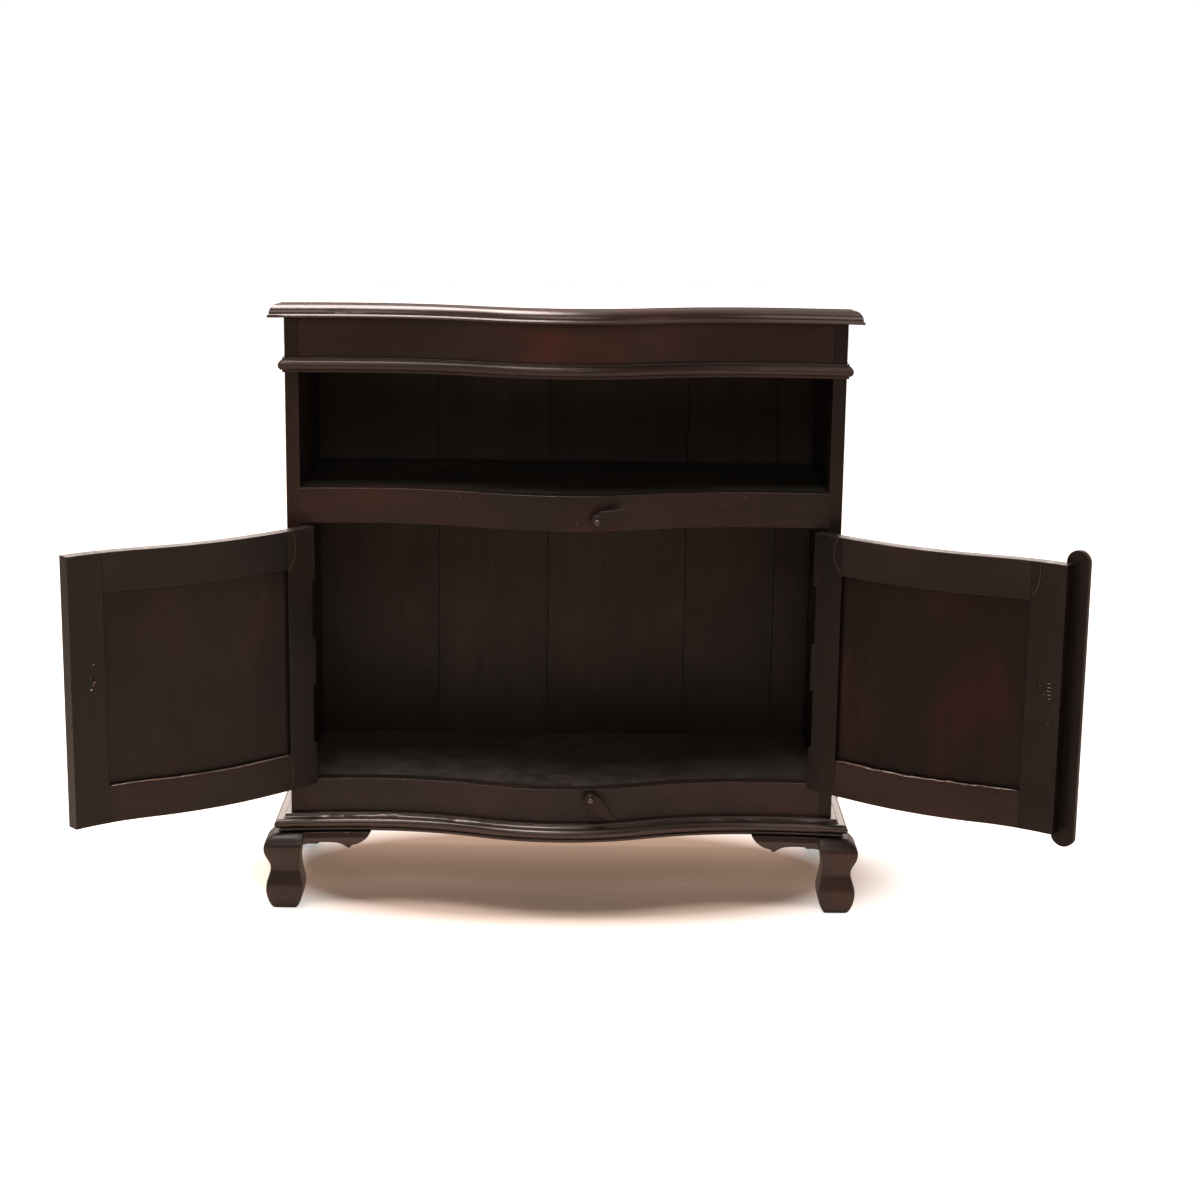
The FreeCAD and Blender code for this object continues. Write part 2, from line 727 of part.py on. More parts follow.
def makeDoor(name, side):
    origin = (pivot_x * side, pivot_y)
    thick = cell("door_thickness")
    free_x = cell("door_gap") / 2
    meeting_x = free_x + cell("meeting_stile_width")
    hinge_x = door_edge_x - cell("hinge_stile_width")
    panel_low = door_bottom + cell("door_bottom_rail_width")
    panel_high = door_top - cell("door_top_rail_width")
    tongue, recess = cell("panel_tongue"), -cell("panel_recess")

    def between(near, far):
        # Left and right ends from two distances from the middle, on this door's side
        return (near, far) if side > 0 else (-far, -near)

    def panelBoard(label):
        low_x, high_x = between(meeting_x - tongue, hinge_x + tongue)
        low_z, high_z = panel_low - tongue, panel_high + tongue
        return curvedBoard(label, low_x, high_x, recess, cell("panel_thickness"), low_z, high_z, origin)

    groove = panelBoard(name + "_groove")

    def frame(label, near, far, low_z, high_z, cutters=()):
        low_x, high_x = between(near, far)
        board = curvedBoard(label + "_board", low_x, high_x, nothing, thick, low_z, high_z, origin)
        swing(side, label, cutAway(label, board, [groove, *cutters]))

    mortise_x = (-cell("leaf_gap") / 2 - cell("leaf_thickness")) * side
    mortise_play = cell("mortise_play")
    cutters = []
    for middle in hinge_middles:
        low_z, high_z = middle - half_hinge - mortise_play, middle + half_hinge + mortise_play
        low_x, high_x = (mortise_x, thick) if side > 0 else (-thick, mortise_x)
        label = "%s_cutter_%d" % (name, len(cutters) + 1)
        cutters.append(plainBoard(label, (low_x, -thick, low_z), (high_x, thick * 2, high_z)))
        for step in screw_steps:
            label = "%s_cutter_%d" % (name, len(cutters) + 1)
            base = (mortise_x, screw_y, middle + step)
            inward = Vector(-side, 0, 0)
            cutters.append(borer(label, cell("screw_radius"), cell("screw_depth"), base, inward))
    seat = (knob_x * side - origin[0], bulgeY(knob_x) - origin[1], cell("knob_height"))
    hole = borer(name + "_knob_hole", cell("knob_shank_radius"), thick * 2, seat, -knobWay(side))
    frame(name + "_hinge_stile", hinge_x, door_edge_x, door_bottom, door_top, cutters)
    frame(name + "_meeting_stile", free_x, meeting_x, door_bottom, door_top, [hole])
    frame(name + "_top_rail", meeting_x, hinge_x, panel_high, door_top)
    frame(name + "_bottom_rail", meeting_x, hinge_x, door_bottom, panel_low)
    swing(side, name + "_panel", panelBoard(name + "_panel"))


def makeKnob(label, side):
    rose, neck, ball = number("knob_rose_radius"), number("knob_neck_radius"), number("knob_radius")
    plate, tall, shank = number("knob_rose_height"), number("knob_length"), number("knob_shank_radius")
    inside = -number("door_thickness") - number("knob_shank_end")
    neck_low, neck_high, widest = [tall * share for share in knob_shares]

    def at(radius, out):
        return Vector(radius, 0, out)

    edges = lineEdges([at(0, inside), at(shank, inside), at(shank, 0), at(rose, 0), at(rose, plate)])
    hollow = at(rose_share * rose, (plate + neck_low) * rose_share)
    edges.append(arcEdge(at(rose, plate), hollow, at(neck, neck_low)))
    edges += lineEdges([at(neck, neck_low), at(neck, neck_high)])
    edges.append(arcEdge(at(neck, neck_high), at(ball, widest), at(crown_share * ball, tall)))
    edges += lineEdges([at(crown_share * ball, tall), at(0, tall), at(0, inside)])
    knob = faceOf(edges).revolve(Vector(), Vector(0, 0, 1), math.degrees(pivot_circle))
    seat = Vector(side * knob_x.number, bulgeY(knob_x).number, number("knob_height"))
    pivot = Vector(side * pivot_x.number, pivot_y.number, 0)
    local = Placement(seat - pivot, Rotation(Vector(0, 0, 1), knobWay(side)))
    shaped(label, knob, swung(side).multiply(local))


def makeStrip(label):
    # Planted on the right door's meeting stile, over the joint and the rails' edges
    free_x, play, thick = number("door_gap") / 2, cell("strip_clearance"), cell("strip_thickness")
    right = free_x + number("strip_seat")
    left = right - number("strip_width")
    low_z = door_bottom.number - number("strip_bottom_drop")
    high_z = door_top.number + number("strip_top_rise")
    nose, half, depth = number("strip_nose_height"), number("strip_width") / 2, number("case_depth")
    slab = curveSlab(left - half, right + half, play + thick, play, low_z - half, high_z + half)
    seat = curveSlab(free_x, right + half, play + thick / 2, nothing, door_bottom.number, door_top.number)

    def at(x, z):
        return Vector(x, -depth, z)

    tip = left + half
    bend_x, bend_z = nose_shares[0] * half, low_z + nose_shares[1] * nose
    edges = lineEdges([at(right, high_z - half), at(right, low_z + nose)])
    edges += lineEdges([at(left, low_z + nose), at(left, high_z - half)])
    edges.append(arcEdge(at(left, high_z - half), at(tip, high_z), at(right, high_z - half)))
    edges.append(arcEdge(at(right, low_z + nose), at(tip + bend_x, bend_z), at(tip, low_z)))
    edges.append(arcEdge(at(tip, low_z), at(tip - bend_x, bend_z), at(left, low_z + nose)))
    outline = faceOf(edges).extrude(Vector(0, depth, 0))
    strip = slab.fuse(seat).common(outline).removeSplitter().Solids[0]
    back_to_pivot = Placement(Vector(-pivot_x.number, -pivot_y.number, 0), Rotation())
    shaped(label, strip, swung(1).multiply(back_to_pivot))


# Hinges. Three knuckles belong to the case leaf and two to the door leaf
case_knuckles, door_knuckles = (0, 2, 4), (1, 3)


def knuckles(which, radius, play):
    tall = number("hinge_height") / (len(case_knuckles) + len(door_knuckles))
    lows = [tall * index - play - half_hinge.number for index in which]
    return [Part.makeCylinder(radius, tall + 2 * play, Vector(0, 0, low)) for low in lows]


def screwSet(way):
    # Three screws in a leaf, their countersunk heads as thick as the leaf
    thick, shank = number("leaf_thickness"), number("screw_radius")
    along = Vector(way, 0, 0)
    screws = []
    for step in screw_steps:
        tip = Vector(way * number("leaf_gap") / 2, screw_y.number, step.number)
        cone = Part.makeCone(number("screw_head_radius"), shank, thick, tip, along)
        screw = cone.fuse(Part.makeCylinder(shank, thick + number("screw_depth"), tip, along))
        screws.append(screw.removeSplitter())
    return screws


def leafShape(way, wide, own, others, trim, bore):
    # A leaf about the pin, lying towards way in x and wide past the knuckles' stand-off
    thick, gap, tall = number("leaf_thickness"), number("leaf_gap") / 2, number("hinge_height")
    radius, play = number("knuckle_radius"), number("knuckle_play")
    low_x = min(way * gap, way * (gap + thick))
    plate = Part.makeBox(thick, number("knuckle_stand_off") + wide, tall, Vector(low_x, 0, -tall / 2))
    plate = plate.cut(Part.makeCompound(knuckles(others, radius + play, play)))
    leaf = plate.multiFuse(knuckles(own, radius, -trim))
    leaf = leaf.cut(Part.makeCylinder(bore, tall, Vector(0, 0, -tall / 2)))
    return leaf.cut(Part.makeCompound(screwSet(way))).removeSplitter()


def pinShape():
    # The pin reaches through all five knuckles and has a small head at both ends
    tall, head = number("hinge_height"), number("pin_head_height")
    pin = Part.makeCylinder(number("pin_radius"), tall, Vector(0, 0, -tall / 2))
    for low in (-tall / 2 - head, tall / 2):
        pin = pin.fuse(Part.makeCylinder(number("pin_head_radius"), head, Vector(0, 0, low)))
    return pin.removeSplitter()


def atHinges(shapes):
    moved = []
    for middle in hinge_middles:
        for shape in shapes:
            copy = shape.copy()
            copy.translate(Vector(0, 0, middle.number))
            moved.append(copy)
    return Part.makeCompound(moved)


def makeHinges(name, side):
    fixed = Placement(Vector(side * pivot_x.number, pivot_y.number, 0), Rotation())
    radius, play = number("pin_radius"), number("knuckle_play")
    door_wide, bore = number("door_thickness") - number("door_leaf_inset"), radius + number("pin_play")
    case_leaf = leafShape(side, number("case_leaf_width"), case_knuckles, door_knuckles, 0.0, radius)
    door_leaf = leafShape(-side, door_wide, door_knuckles, case_knuckles, play, bore)
    shaped(name + "_hinge_case_leaves", atHinges([case_leaf]), fixed)
    shaped(name + "_hinge_pins", atHinges([pinShape()]), fixed)
    shaped(name + "_hinge_case_screws", atHinges(screwSet(side)), fixed)
    shaped(name + "_hinge_door_leaves", atHinges([door_leaf]), swung(side))
    shaped(name + "_hinge_door_screws", atHinges(screwSet(-side)), swung(side))


# Turn buttons: a boss on the rail lifts the leaf clear of the cover strip
button_heights = {
    "upper": middle_rail_bottom + cell("upper_button_rise"),
    "lower": base_rail_top - cell("lower_button_drop"),
}
leaf_back_y = faceY(0.0) - number("strip_clearance") - number("strip_thickness") - number("button_clearance")
leaf_front_y = leaf_back_y - number("button_leaf_thickness")


def makeButton(name):
    spot_x, height = number(name + "_button_place"), button_heights[name].number
    radius, play = number("button_boss_radius"), number("button_clearance")
    thick = number("button_leaf_thickness")
    span, tall = number("button_leaf_length"), number("button_leaf_height")
    forward = Vector(0, 1, 0)
    heel, toe, belly, chin, slack = [Vector(span * u, -thick, tall * v) for u, v in leaf_shares]
    slope = radius * math.cos(math.pi / 4)
    left, low, side = Vector(-slope, -thick, slope), Vector(0, -thick, -radius), Vector(-radius, -thick, 0)
    edges = lineEdges([left, heel, toe])
    edges += [arcEdge(toe, belly, chin), arcEdge(chin, slack, low), arcEdge(low, side, left)]
    leaf = faceOf(edges).extrude(Vector(0, thick, 0))
    rail_y = faceY(spot_x - radius) - play
    boss = Part.makeCylinder(radius, rail_y - leaf_front_y, Vector(0, -thick, 0), forward)
    depth = number("case_depth")
    bore = number("button_screw_radius") + number("button_screw_play")
    hole = Part.makeCylinder(bore, 2 * depth, Vector(0, -depth, 0), forward)
    middle = Vector(spot_x, leaf_back_y, height)
    turn = Rotation(Vector(0, -1, 0), number(name + "_button_angle"))
    shaped(name + "_turn_button", leaf.fuse(boss).cut(hole).removeSplitter(), Placement(middle, turn))
    head, cap = number("button_screw_head_radius"), number("button_screw_head_height")
    under_y = leaf_front_y - play
    shank = faceY(spot_x) + number("button_screw_depth") - under_y
    bend = Vector(dome_shares[0] * head, -dome_shares[1] * cap, 0)
    rim, crown = Vector(head, 0, 0), Vector(crown_share * head, -cap, 0)
    dome = faceOf([arcEdge(rim, bend, crown)] + lineEdges([crown, Vector(0, -cap, 0), Vector(), rim]))
    dome = dome.revolve(Vector(), forward, math.degrees(pivot_circle))
    screw = Part.makeCylinder(number("button_screw_radius"), shank, Vector(), forward).fuse(dome)
    seat = Placement(Vector(spot_x, under_y, height), Rotation())
    shaped(name + "_button_screw", screw.removeSplitter(), seat)


def buttonHole(name):
    # The hole in the rail for a button's screw
    spot_x, depth = cell(name + "_button_place"), cell("button_screw_depth")
    base = (spot_x, bulgeY(spot_x) - depth, button_heights[name])
    return borer(name + "_button_hole", cell("button_screw_radius"), depth * 2, base, Vector(0, 1, 0))


def plateBlock(label):
    # The iron plate behind the bottom rail, let into the bottom board
    low_x = cell("plate_place") - cell("plate_length") / 2
    low_y = bulgeY(nothing) + cell("rail_thickness") + cell("plate_gap")
    low_z = base_rail_top - cell("shelf_drop") - cell("plate_seat")
    high = (low_x + cell("plate_length"), low_y + cell("plate_width"), low_z + cell("plate_thickness"))
    return plainBoard(label, (low_x, low_y, low_z), high)


makeSide("side_panel_left", -1)
makeSide("side_panel_right", 1)
makeBackBoards()
makeShelf("niche_shelf", middle_rail_top)
makeShelf("bottom_board", base_rail_top, [plateBlock("plate_seat_cut")])
makeRail("bottom_rail", case_bottom, base_rail_top, [buttonHole("lower")])
makeRail("middle_rail", middle_rail_bottom, middle_rail_top, [buttonHole("upper")])
makeRail("frieze_rail", niche_top, case_top)
top_reach, bead_reach = number("top_overhang"), number("bead_reach")
base_reach = number("base_moulding_reach")
makeTop("top_board", outlineFrom(top_shares, top_reach, case_top.number, number("top_thickness")), top_reach)
bead_outline = outlineFrom(bead_shares, bead_reach, niche_top.number, number("bead_height"))
plantMoulding("bead", bead_outline, bead_reach)
base_outline = outlineFrom(base_shares, base_reach, case_bottom.number, number("base_moulding_height"))
plantMoulding("base_moulding", base_outline, base_reach)
for side, word in ((-1, "left"), (1, "right")):
    makeFoot("foot_front_" + word, side, -1)
    makeFoot("foot_back_" + word, side, 1)
    makeFrontBracket("bracket_front_" + word, side)
    makeSideBracket("bracket_side_front_" + word, side, -1)
    makeSideBracket("bracket_side_back_" + word, side, 1)
    makeDoor(word + "_door", side)
    makeHinges(word, side)
    makeKnob(word + "_door_knob", side)
makeStrip("cover_strip")
makeButton("upper")
makeButton("lower")
keep("keeper_plate", plateBlock("keeper_plate"))

doc.recompute()
for thing in doc.Objects:
    if "Invalid" in thing.State or "Error" in thing.State:
        raise RuntimeError("%s did not recompute: %s" % (thing.Name, thing.State))
for label, thing in nodes.items():
    if thing.Shape.isNull() or not thing.Shape.isValid() or not thing.Shape.Solids:
        raise RuntimeError("%s has no valid shape" % label)
    thing.Shape.exportStep("parts/%s.step" % label)
print("%d pieces" % len(nodes))
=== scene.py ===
import json
import math
import random

import bmesh
import bpy
from mathutils import Matrix, Vector

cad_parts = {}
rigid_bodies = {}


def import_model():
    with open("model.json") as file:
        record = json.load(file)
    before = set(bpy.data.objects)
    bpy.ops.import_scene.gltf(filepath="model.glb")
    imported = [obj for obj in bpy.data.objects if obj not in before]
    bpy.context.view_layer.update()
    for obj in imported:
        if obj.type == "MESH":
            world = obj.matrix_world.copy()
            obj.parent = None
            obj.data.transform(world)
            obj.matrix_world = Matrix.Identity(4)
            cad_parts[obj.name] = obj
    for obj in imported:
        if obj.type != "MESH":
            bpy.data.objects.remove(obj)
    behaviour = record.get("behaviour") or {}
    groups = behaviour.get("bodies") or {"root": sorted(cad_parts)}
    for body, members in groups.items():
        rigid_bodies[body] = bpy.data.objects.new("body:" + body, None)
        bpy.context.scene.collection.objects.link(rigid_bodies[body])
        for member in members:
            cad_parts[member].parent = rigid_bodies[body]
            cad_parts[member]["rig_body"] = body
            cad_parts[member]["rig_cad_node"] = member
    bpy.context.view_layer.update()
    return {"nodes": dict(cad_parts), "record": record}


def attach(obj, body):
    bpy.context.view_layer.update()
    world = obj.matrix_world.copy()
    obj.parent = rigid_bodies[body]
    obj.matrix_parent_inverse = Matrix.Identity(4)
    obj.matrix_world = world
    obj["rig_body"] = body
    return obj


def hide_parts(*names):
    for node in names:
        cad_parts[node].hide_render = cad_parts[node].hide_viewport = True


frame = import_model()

cadNodes = frame["nodes"]
print("frame loaded:", len(cadNodes), "pieces")


signs = {"left": -1, "right": 1}


def mm(size):
    return size / 1000


# Small helpers for selecting and finishing meshes
def pickNothing():
    for thing in bpy.context.view_layer.objects:
        thing.select_set(False)


def pick(thing):
    pickNothing()
    thing.hide_viewport = False
    thing.select_set(True)
    bpy.context.view_layer.objects.active = thing


def startPiece(name):
    # the primitive just added becomes the piece
    piece = bpy.context.object
    piece.name = name
    piece.data.name = name
    return piece


def atOrigin(piece):
    # leaves the piece's place in its mesh
    pick(piece)
    bpy.ops.object.transform_apply(location=True, rotation=True, scale=True)
    return piece


def outward(piece):
    pick(piece)
    bpy.ops.object.mode_set(mode="EDIT")
    bpy.ops.mesh.select_all(action="SELECT")
    bpy.ops.mesh.normals_make_consistent(inside=False)
    bpy.ops.object.mode_set(mode="OBJECT")


def roundEdges(piece, width, segments=2, angle=35):
    pick(piece)
    bevel = piece.modifiers.new("edges", "BEVEL")
    bevel.width = width
    bevel.segments = segments
    bevel.limit_method = "ANGLE"
    bevel.angle_limit = math.radians(angle)
    bpy.ops.object.modifier_apply(modifier=bevel.name)


def smoothSides(piece, angle=35):
    pick(piece)
    bpy.ops.object.shade_smooth_by_angle(angle=math.radians(angle))


def settleNormals(piece):
    # large faces stay flat beside their rounded edges
    pick(piece)
    bpy.ops.object.shade_smooth()
    even = piece.modifiers.new("flats", "WEIGHTED_NORMAL")
    even.mode = "FACE_AREA"
    even.weight = 80
    bpy.ops.object.modifier_apply(modifier=even.name)


# Node helpers
def feed(tree, socket, value):
    if isinstance(value, bpy.types.NodeSocket):
        tree.links.new(value, socket)
    else:
        socket.default_value = value


def put(tree, kind, sockets=None, **settings):
    node = tree.nodes.new(kind)
    for setting, value in settings.items():
        setattr(node, setting, value)
    for key, value in (sockets or {}).items():
        feed(tree, node.inputs[key], value)
    return node


def useGroup(tree, group, sockets):
    return put(tree, "ShaderNodeGroup", sockets, node_tree=group).outputs


def startGroup(name, inputs, outputs):
    group = bpy.data.node_groups.new(name, "ShaderNodeTree")
    for label, kind, value in inputs:
        socket = group.interface.new_socket(name=label, in_out="INPUT", socket_type=kind)
        socket.default_value = value
    for label, kind in outputs:
        group.interface.new_socket(name=label, in_out="OUTPUT", socket_type=kind)
    return group, group.nodes.new("NodeGroupInput").outputs, group.nodes.new("NodeGroupOutput").inputs


def startMaterial(name):
    material = bpy.data.materials.new(name)
    material.use_nodes = True
    tree = material.node_tree
    return material, tree, put(tree, "ShaderNodeTexCoord").outputs["Object"]


# What the Mix node calls its factor, its two colours and their blend
mixSockets = {"factor": 0, "low": 6, "high": 7, "blend": 2}


def mix(tree, factor, low, high):
    node = put(tree, "ShaderNodeMix", data_type="RGBA")
    for label, value in (("factor", factor), ("low", low), ("high", high)):
        feed(tree, node.inputs[mixSockets[label]], value)
    return node.outputs[mixSockets["blend"]]


def sums(tree, operation, first, second=None, clamp=False):
    sockets = {0: first} if second is None else {0: first, 1: second}
    return put(tree, "ShaderNodeMath", sockets, operation=operation, use_clamp=clamp).outputs[0]


def times(tree, first, second, clamp=False):
    return sums(tree, "MULTIPLY", first, second, clamp)


def remap(tree, value, low, high, newLow=0.0, newHigh=1.0):
    sockets = {"Value": value, "From Min": low, "From Max": high, "To Min": newLow, "To Max": newHigh}
    return put(tree, "ShaderNodeMapRange", sockets).outputs["Result"]


def stretched(tree, vector, scale):
    return put(tree, "ShaderNodeMapping", {"Vector": vector, "Scale": scale}).outputs["Vector"]


def noise(tree, vector, look):
    # a look may first stretch the vector along X, Y and Z
    if "stretch" in look:
        vector = stretched(tree, vector, look["stretch"])
    sockets = {"Vector": vector, "Scale": look.get("scale", 1.0), "Detail": look["detail"],
               "Roughness": look["rough"], "Distortion": look.get("bend", 0.0)}
    return put(tree, "ShaderNodeTexNoise", sockets).outputs["Fac"]


def upward(tree, normal):
    return put(tree, "ShaderNodeSeparateXYZ", {0: normal}).outputs["Z"]


# Grain runs along X of the vector that comes in. A span is the range of a noise that comes out as 0
# to 1, or as its last two values where it has four
grainLook = {
    "sway": {"scale": 3.0, "detail": 2.0, "reach": (0.02, 0.02, 0.02)},
    "fibres": {"stretch": (9.0, 420.0, 420.0), "detail": 5.0, "rough": 0.68, "span": (0.36, 0.66)},
    "figure": {"stretch": (1.6, 26.0, 26.0), "detail": 4.0, "rough": 0.6, "bend": 0.6,
               "span": (0.34, 0.66), "redSpan": (0.3, 0.6, 0.35, 1.0), "share": 0.55},
    "pores": {"stretch": (60.0, 1500.0, 1500.0), "detail": 2.0, "rough": 0.5,
              "span": (0.30, 0.40, 1.0, 0.0), "share": 0.55, "color": (0.002, 0.0016, 0.0014, 1)},
    "patches": {"scale": 3.4, "detail": 3.0, "rough": 0.6, "bend": 0.3, "span": (0.42, 0.68)},
    "smoke": {"stretch": (0.6, 1.0, 1.0), "scale": 6.5, "detail": 3.0, "rough": 0.55,
              "span": (0.40, 0.60, 0.0, 0.85)},
    "fibreDepth": 0.5,
}


def makeGrainGroup():
    look = grainLook
    group, given, out = startGroup("woodGrain", [
        ("Vector", "NodeSocketVector", (0, 0, 0)),
        ("Dark", "NodeSocketColor", (0.01, 0.007, 0.006, 1)),
        ("Brown", "NodeSocketColor", (0.03, 0.018, 0.014, 1)),
        ("Red", "NodeSocketColor", (0.06, 0.02, 0.014, 1)),
        ("Redness", "NodeSocketFloat", 0.5),
        ("Fibre", "NodeSocketFloat", 0.5),
    ], [("Color", "NodeSocketColor"), ("Height", "NodeSocketFloat")])
    vector = given["Vector"]
    sockets = {"Vector": vector, "Scale": look["sway"]["scale"], "Detail": look["sway"]["detail"]}
    sway = put(group, "ShaderNodeTexNoise", sockets).outputs["Color"]
    swayed = put(group, "ShaderNodeVectorMath", {0: sway, 1: look["sway"]["reach"]}, operation="MULTIPLY")
    bent = put(group, "ShaderNodeVectorMath", {0: vector, 1: swayed.outputs[0]}, operation="ADD").outputs[0]
    figure = noise(group, bent, look["figure"])
    fibreMask = remap(group, noise(group, bent, look["fibres"]), *look["fibres"]["span"])
    figureMask = times(group, remap(group, figure, *look["figure"]["span"]), look["figure"]["share"])
    streak = sums(group, "ADD", times(group, fibreMask, given["Fibre"]), figureMask, clamp=True)
    shade = mix(group, streak, given["Dark"], given["Brown"])
    redMask = remap(group, noise(group, bent, look["patches"]), *look["patches"]["span"])
    redMask = times(group, redMask, given["Redness"], clamp=True)
    redMask = times(group, redMask, remap(group, figure, *look["figure"]["redSpan"]))
    warm = mix(group, redMask, shade, given["Red"])
    smoke = remap(group, noise(group, vector, look["smoke"]), *look["smoke"]["span"])
    smoky = mix(group, smoke, warm, given["Dark"])
    poreMask = remap(group, noise(group, bent, look["pores"]), *look["pores"]["span"])
    pored = mix(group, times(group, poreMask, look["pores"]["share"]), smoky, look["pores"]["color"])
    group.links.new(pored, out["Color"])
    depth = sums(group, "SUBTRACT", times(group, fibreMask, look["fibreDepth"]), poreMask)
    group.links.new(depth, out["Height"])
    return group


# Rounded normals along edges, and a mask of the worn strip there, stronger on edges that face up,
# where it is partly wear and partly a painted highlight. The crest is a painted highlight, a light
# line on the eased edge under a top face
edgeLook = {
    "samples": 4, "turn": (0.995, 0.86), "breaks": {"scale": 38.0, "detail": 5.0, "rough": 0.66},
    "breakSpan": (0.36, 0.62), "facing": (-0.1, 0.5, 0.3, 1.0), "crestFrom": (0.2, 0.55),
    "crestTo": (0.985, 0.9), "crestBreaks": (0.0, 1.0, 0.55, 1.0),
}


def makeEdgeGroup():
    look = edgeLook
    group, given, out = startGroup("edgeWearAndHighlight", [
        ("Vector", "NodeSocketVector", (0, 0, 0)),
        ("Radius", "NodeSocketFloat", 0.002),
        ("Reach", "NodeSocketFloat", 0.6),
        ("Crest", "NodeSocketFloat", 0.0),
    ], [("Mask", "NodeSocketFloat"), ("Normal", "NodeSocketVector")])
    softened = put(group, "ShaderNodeBevel", {"Radius": given["Radius"]}, samples=look["samples"])
    softened = softened.outputs["Normal"]
    flat = put(group, "ShaderNodeNewGeometry").outputs["True Normal"]
    turn = put(group, "ShaderNodeVectorMath", {0: softened, 1: flat}, operation="DOT_PRODUCT")
    breaks = remap(group, noise(group, given["Vector"], look["breaks"]), *look["breakSpan"])
    # the worn strip, stronger on edges that face up: wear, with a painted highlight on top edges
    rubbed = times(group, remap(group, turn.outputs["Value"], *look["turn"]),
                   remap(group, upward(group, softened), *look["facing"]))
    mask = times(group, times(group, rubbed, breaks), given["Reach"], clamp=True)
    # the crest: a painted highlight on the eased edge under a top face
    slope = upward(group, flat)
    crest = times(group, remap(group, slope, *look["crestFrom"]), remap(group, slope, *look["crestTo"]))
    broken = times(group, given["Crest"], remap(group, breaks, *look["crestBreaks"]))
    mask = sums(group, "MAXIMUM", mask, times(group, crest, broken))
    group.links.new(mask, out["Mask"])
    group.links.new(softened, out["Normal"])
    return group


# Old polish: rubbed patches, handling marks and dull smears, as roughness
polishLook = {
    "smears": {"scale": 7.0, "detail": 4.0, "rough": 0.62, "bend": 0.8, "share": 0.65},
    "rubbed": {"stretch": (14.0, 70.0, 70.0), "detail": 4.0, "rough": 0.6, "share": 0.35, "height": 0.65},
    "orange": {"scale": 420.0, "detail": 2.0, "rough": 0.5, "height": 0.35},
    "span": (0.3, 0.7, -0.5, 0.5),
}


def makePolishGroup():
    look = polishLook
    group, given, out = startGroup("oldPolish", [
        ("Vector", "NodeSocketVector", (0, 0, 0)),
        ("Gloss", "NodeSocketFloat", 0.34),
        ("Uneven", "NodeSocketFloat", 0.2),
    ], [("Roughness", "NodeSocketFloat"), ("Height", "NodeSocketFloat")])
    smears = noise(group, given["Vector"], look["smears"])
    rubbed = noise(group, given["Vector"], look["rubbed"])
    orange = noise(group, given["Vector"], look["orange"])
    spread = sums(group, "ADD", times(group, smears, look["smears"]["share"]),
                  times(group, rubbed, look["rubbed"]["share"]))
    change = times(group, remap(group, spread, *look["span"]), given["Uneven"])
    group.links.new(sums(group, "ADD", given["Gloss"], change, clamp=True), out["Roughness"])
    height = sums(group, "ADD", times(group, orange, look["orange"]["height"]),
                  times(group, rubbed, look["rubbed"]["height"]))
    group.links.new(height, out["Height"])
    return group


# Darker in the corners that ambient occlusion finds, painted shade on ledges that face up, and a
# thin dust where the surface faces up
darkeningAndDustLook = {
    "samples": 4, "hidden": (0.85, 0.35), "clouds": {"scale": 24.0, "detail": 4.0, "rough": 0.6},
    "darkeningClouds": (0.3, 0.6, 0.45, 1.0), "dustClouds": (0.38, 0.7, 0.25, 1.0), "dustUp": (0.4, 0.95),
    "ledgeUp": (0.15, 0.6),
}


def makeDarkeningAndDustGroup():
    look = darkeningAndDustLook
    group, given, out = startGroup("cornerDarkeningAndDust", [
        ("Vector", "NodeSocketVector", (0, 0, 0)),
        ("Reach", "NodeSocketFloat", 0.012),
        ("Dust", "NodeSocketFloat", 0.12),
        ("Ledge", "NodeSocketFloat", 0.0),
    ], [("Darkening", "NodeSocketFloat"), ("Dust", "NodeSocketFloat")])
    hidden = put(group, "ShaderNodeAmbientOcclusion", {"Distance": given["Reach"]}, samples=look["samples"])
    clouds = noise(group, given["Vector"], look["clouds"])
    darkening = times(group, remap(group, hidden.outputs["AO"], *look["hidden"]),
                  remap(group, clouds, *look["darkeningClouds"]), clamp=True)
    up = upward(group, put(group, "ShaderNodeNewGeometry").outputs["Normal"])
    dust = times(group, remap(group, up, *look["dustUp"]),
                 remap(group, clouds, *look["dustClouds"]), clamp=True)
    # the ledge: painted shade on surfaces that face up
    ledge = times(group, remap(group, up, *look["ledgeUp"]), given["Ledge"])
    group.links.new(sums(group, "MAXIMUM", darkening, ledge), out["Darkening"])
    group.links.new(times(group, dust, given["Dust"], clamp=True), out["Dust"])
    return group


grainGroup = makeGrainGroup()
edgeGroup = makeEdgeGroup()
polishGroup = makePolishGroup()
darkeningAndDustGroup = makeDarkeningAndDustGroup()


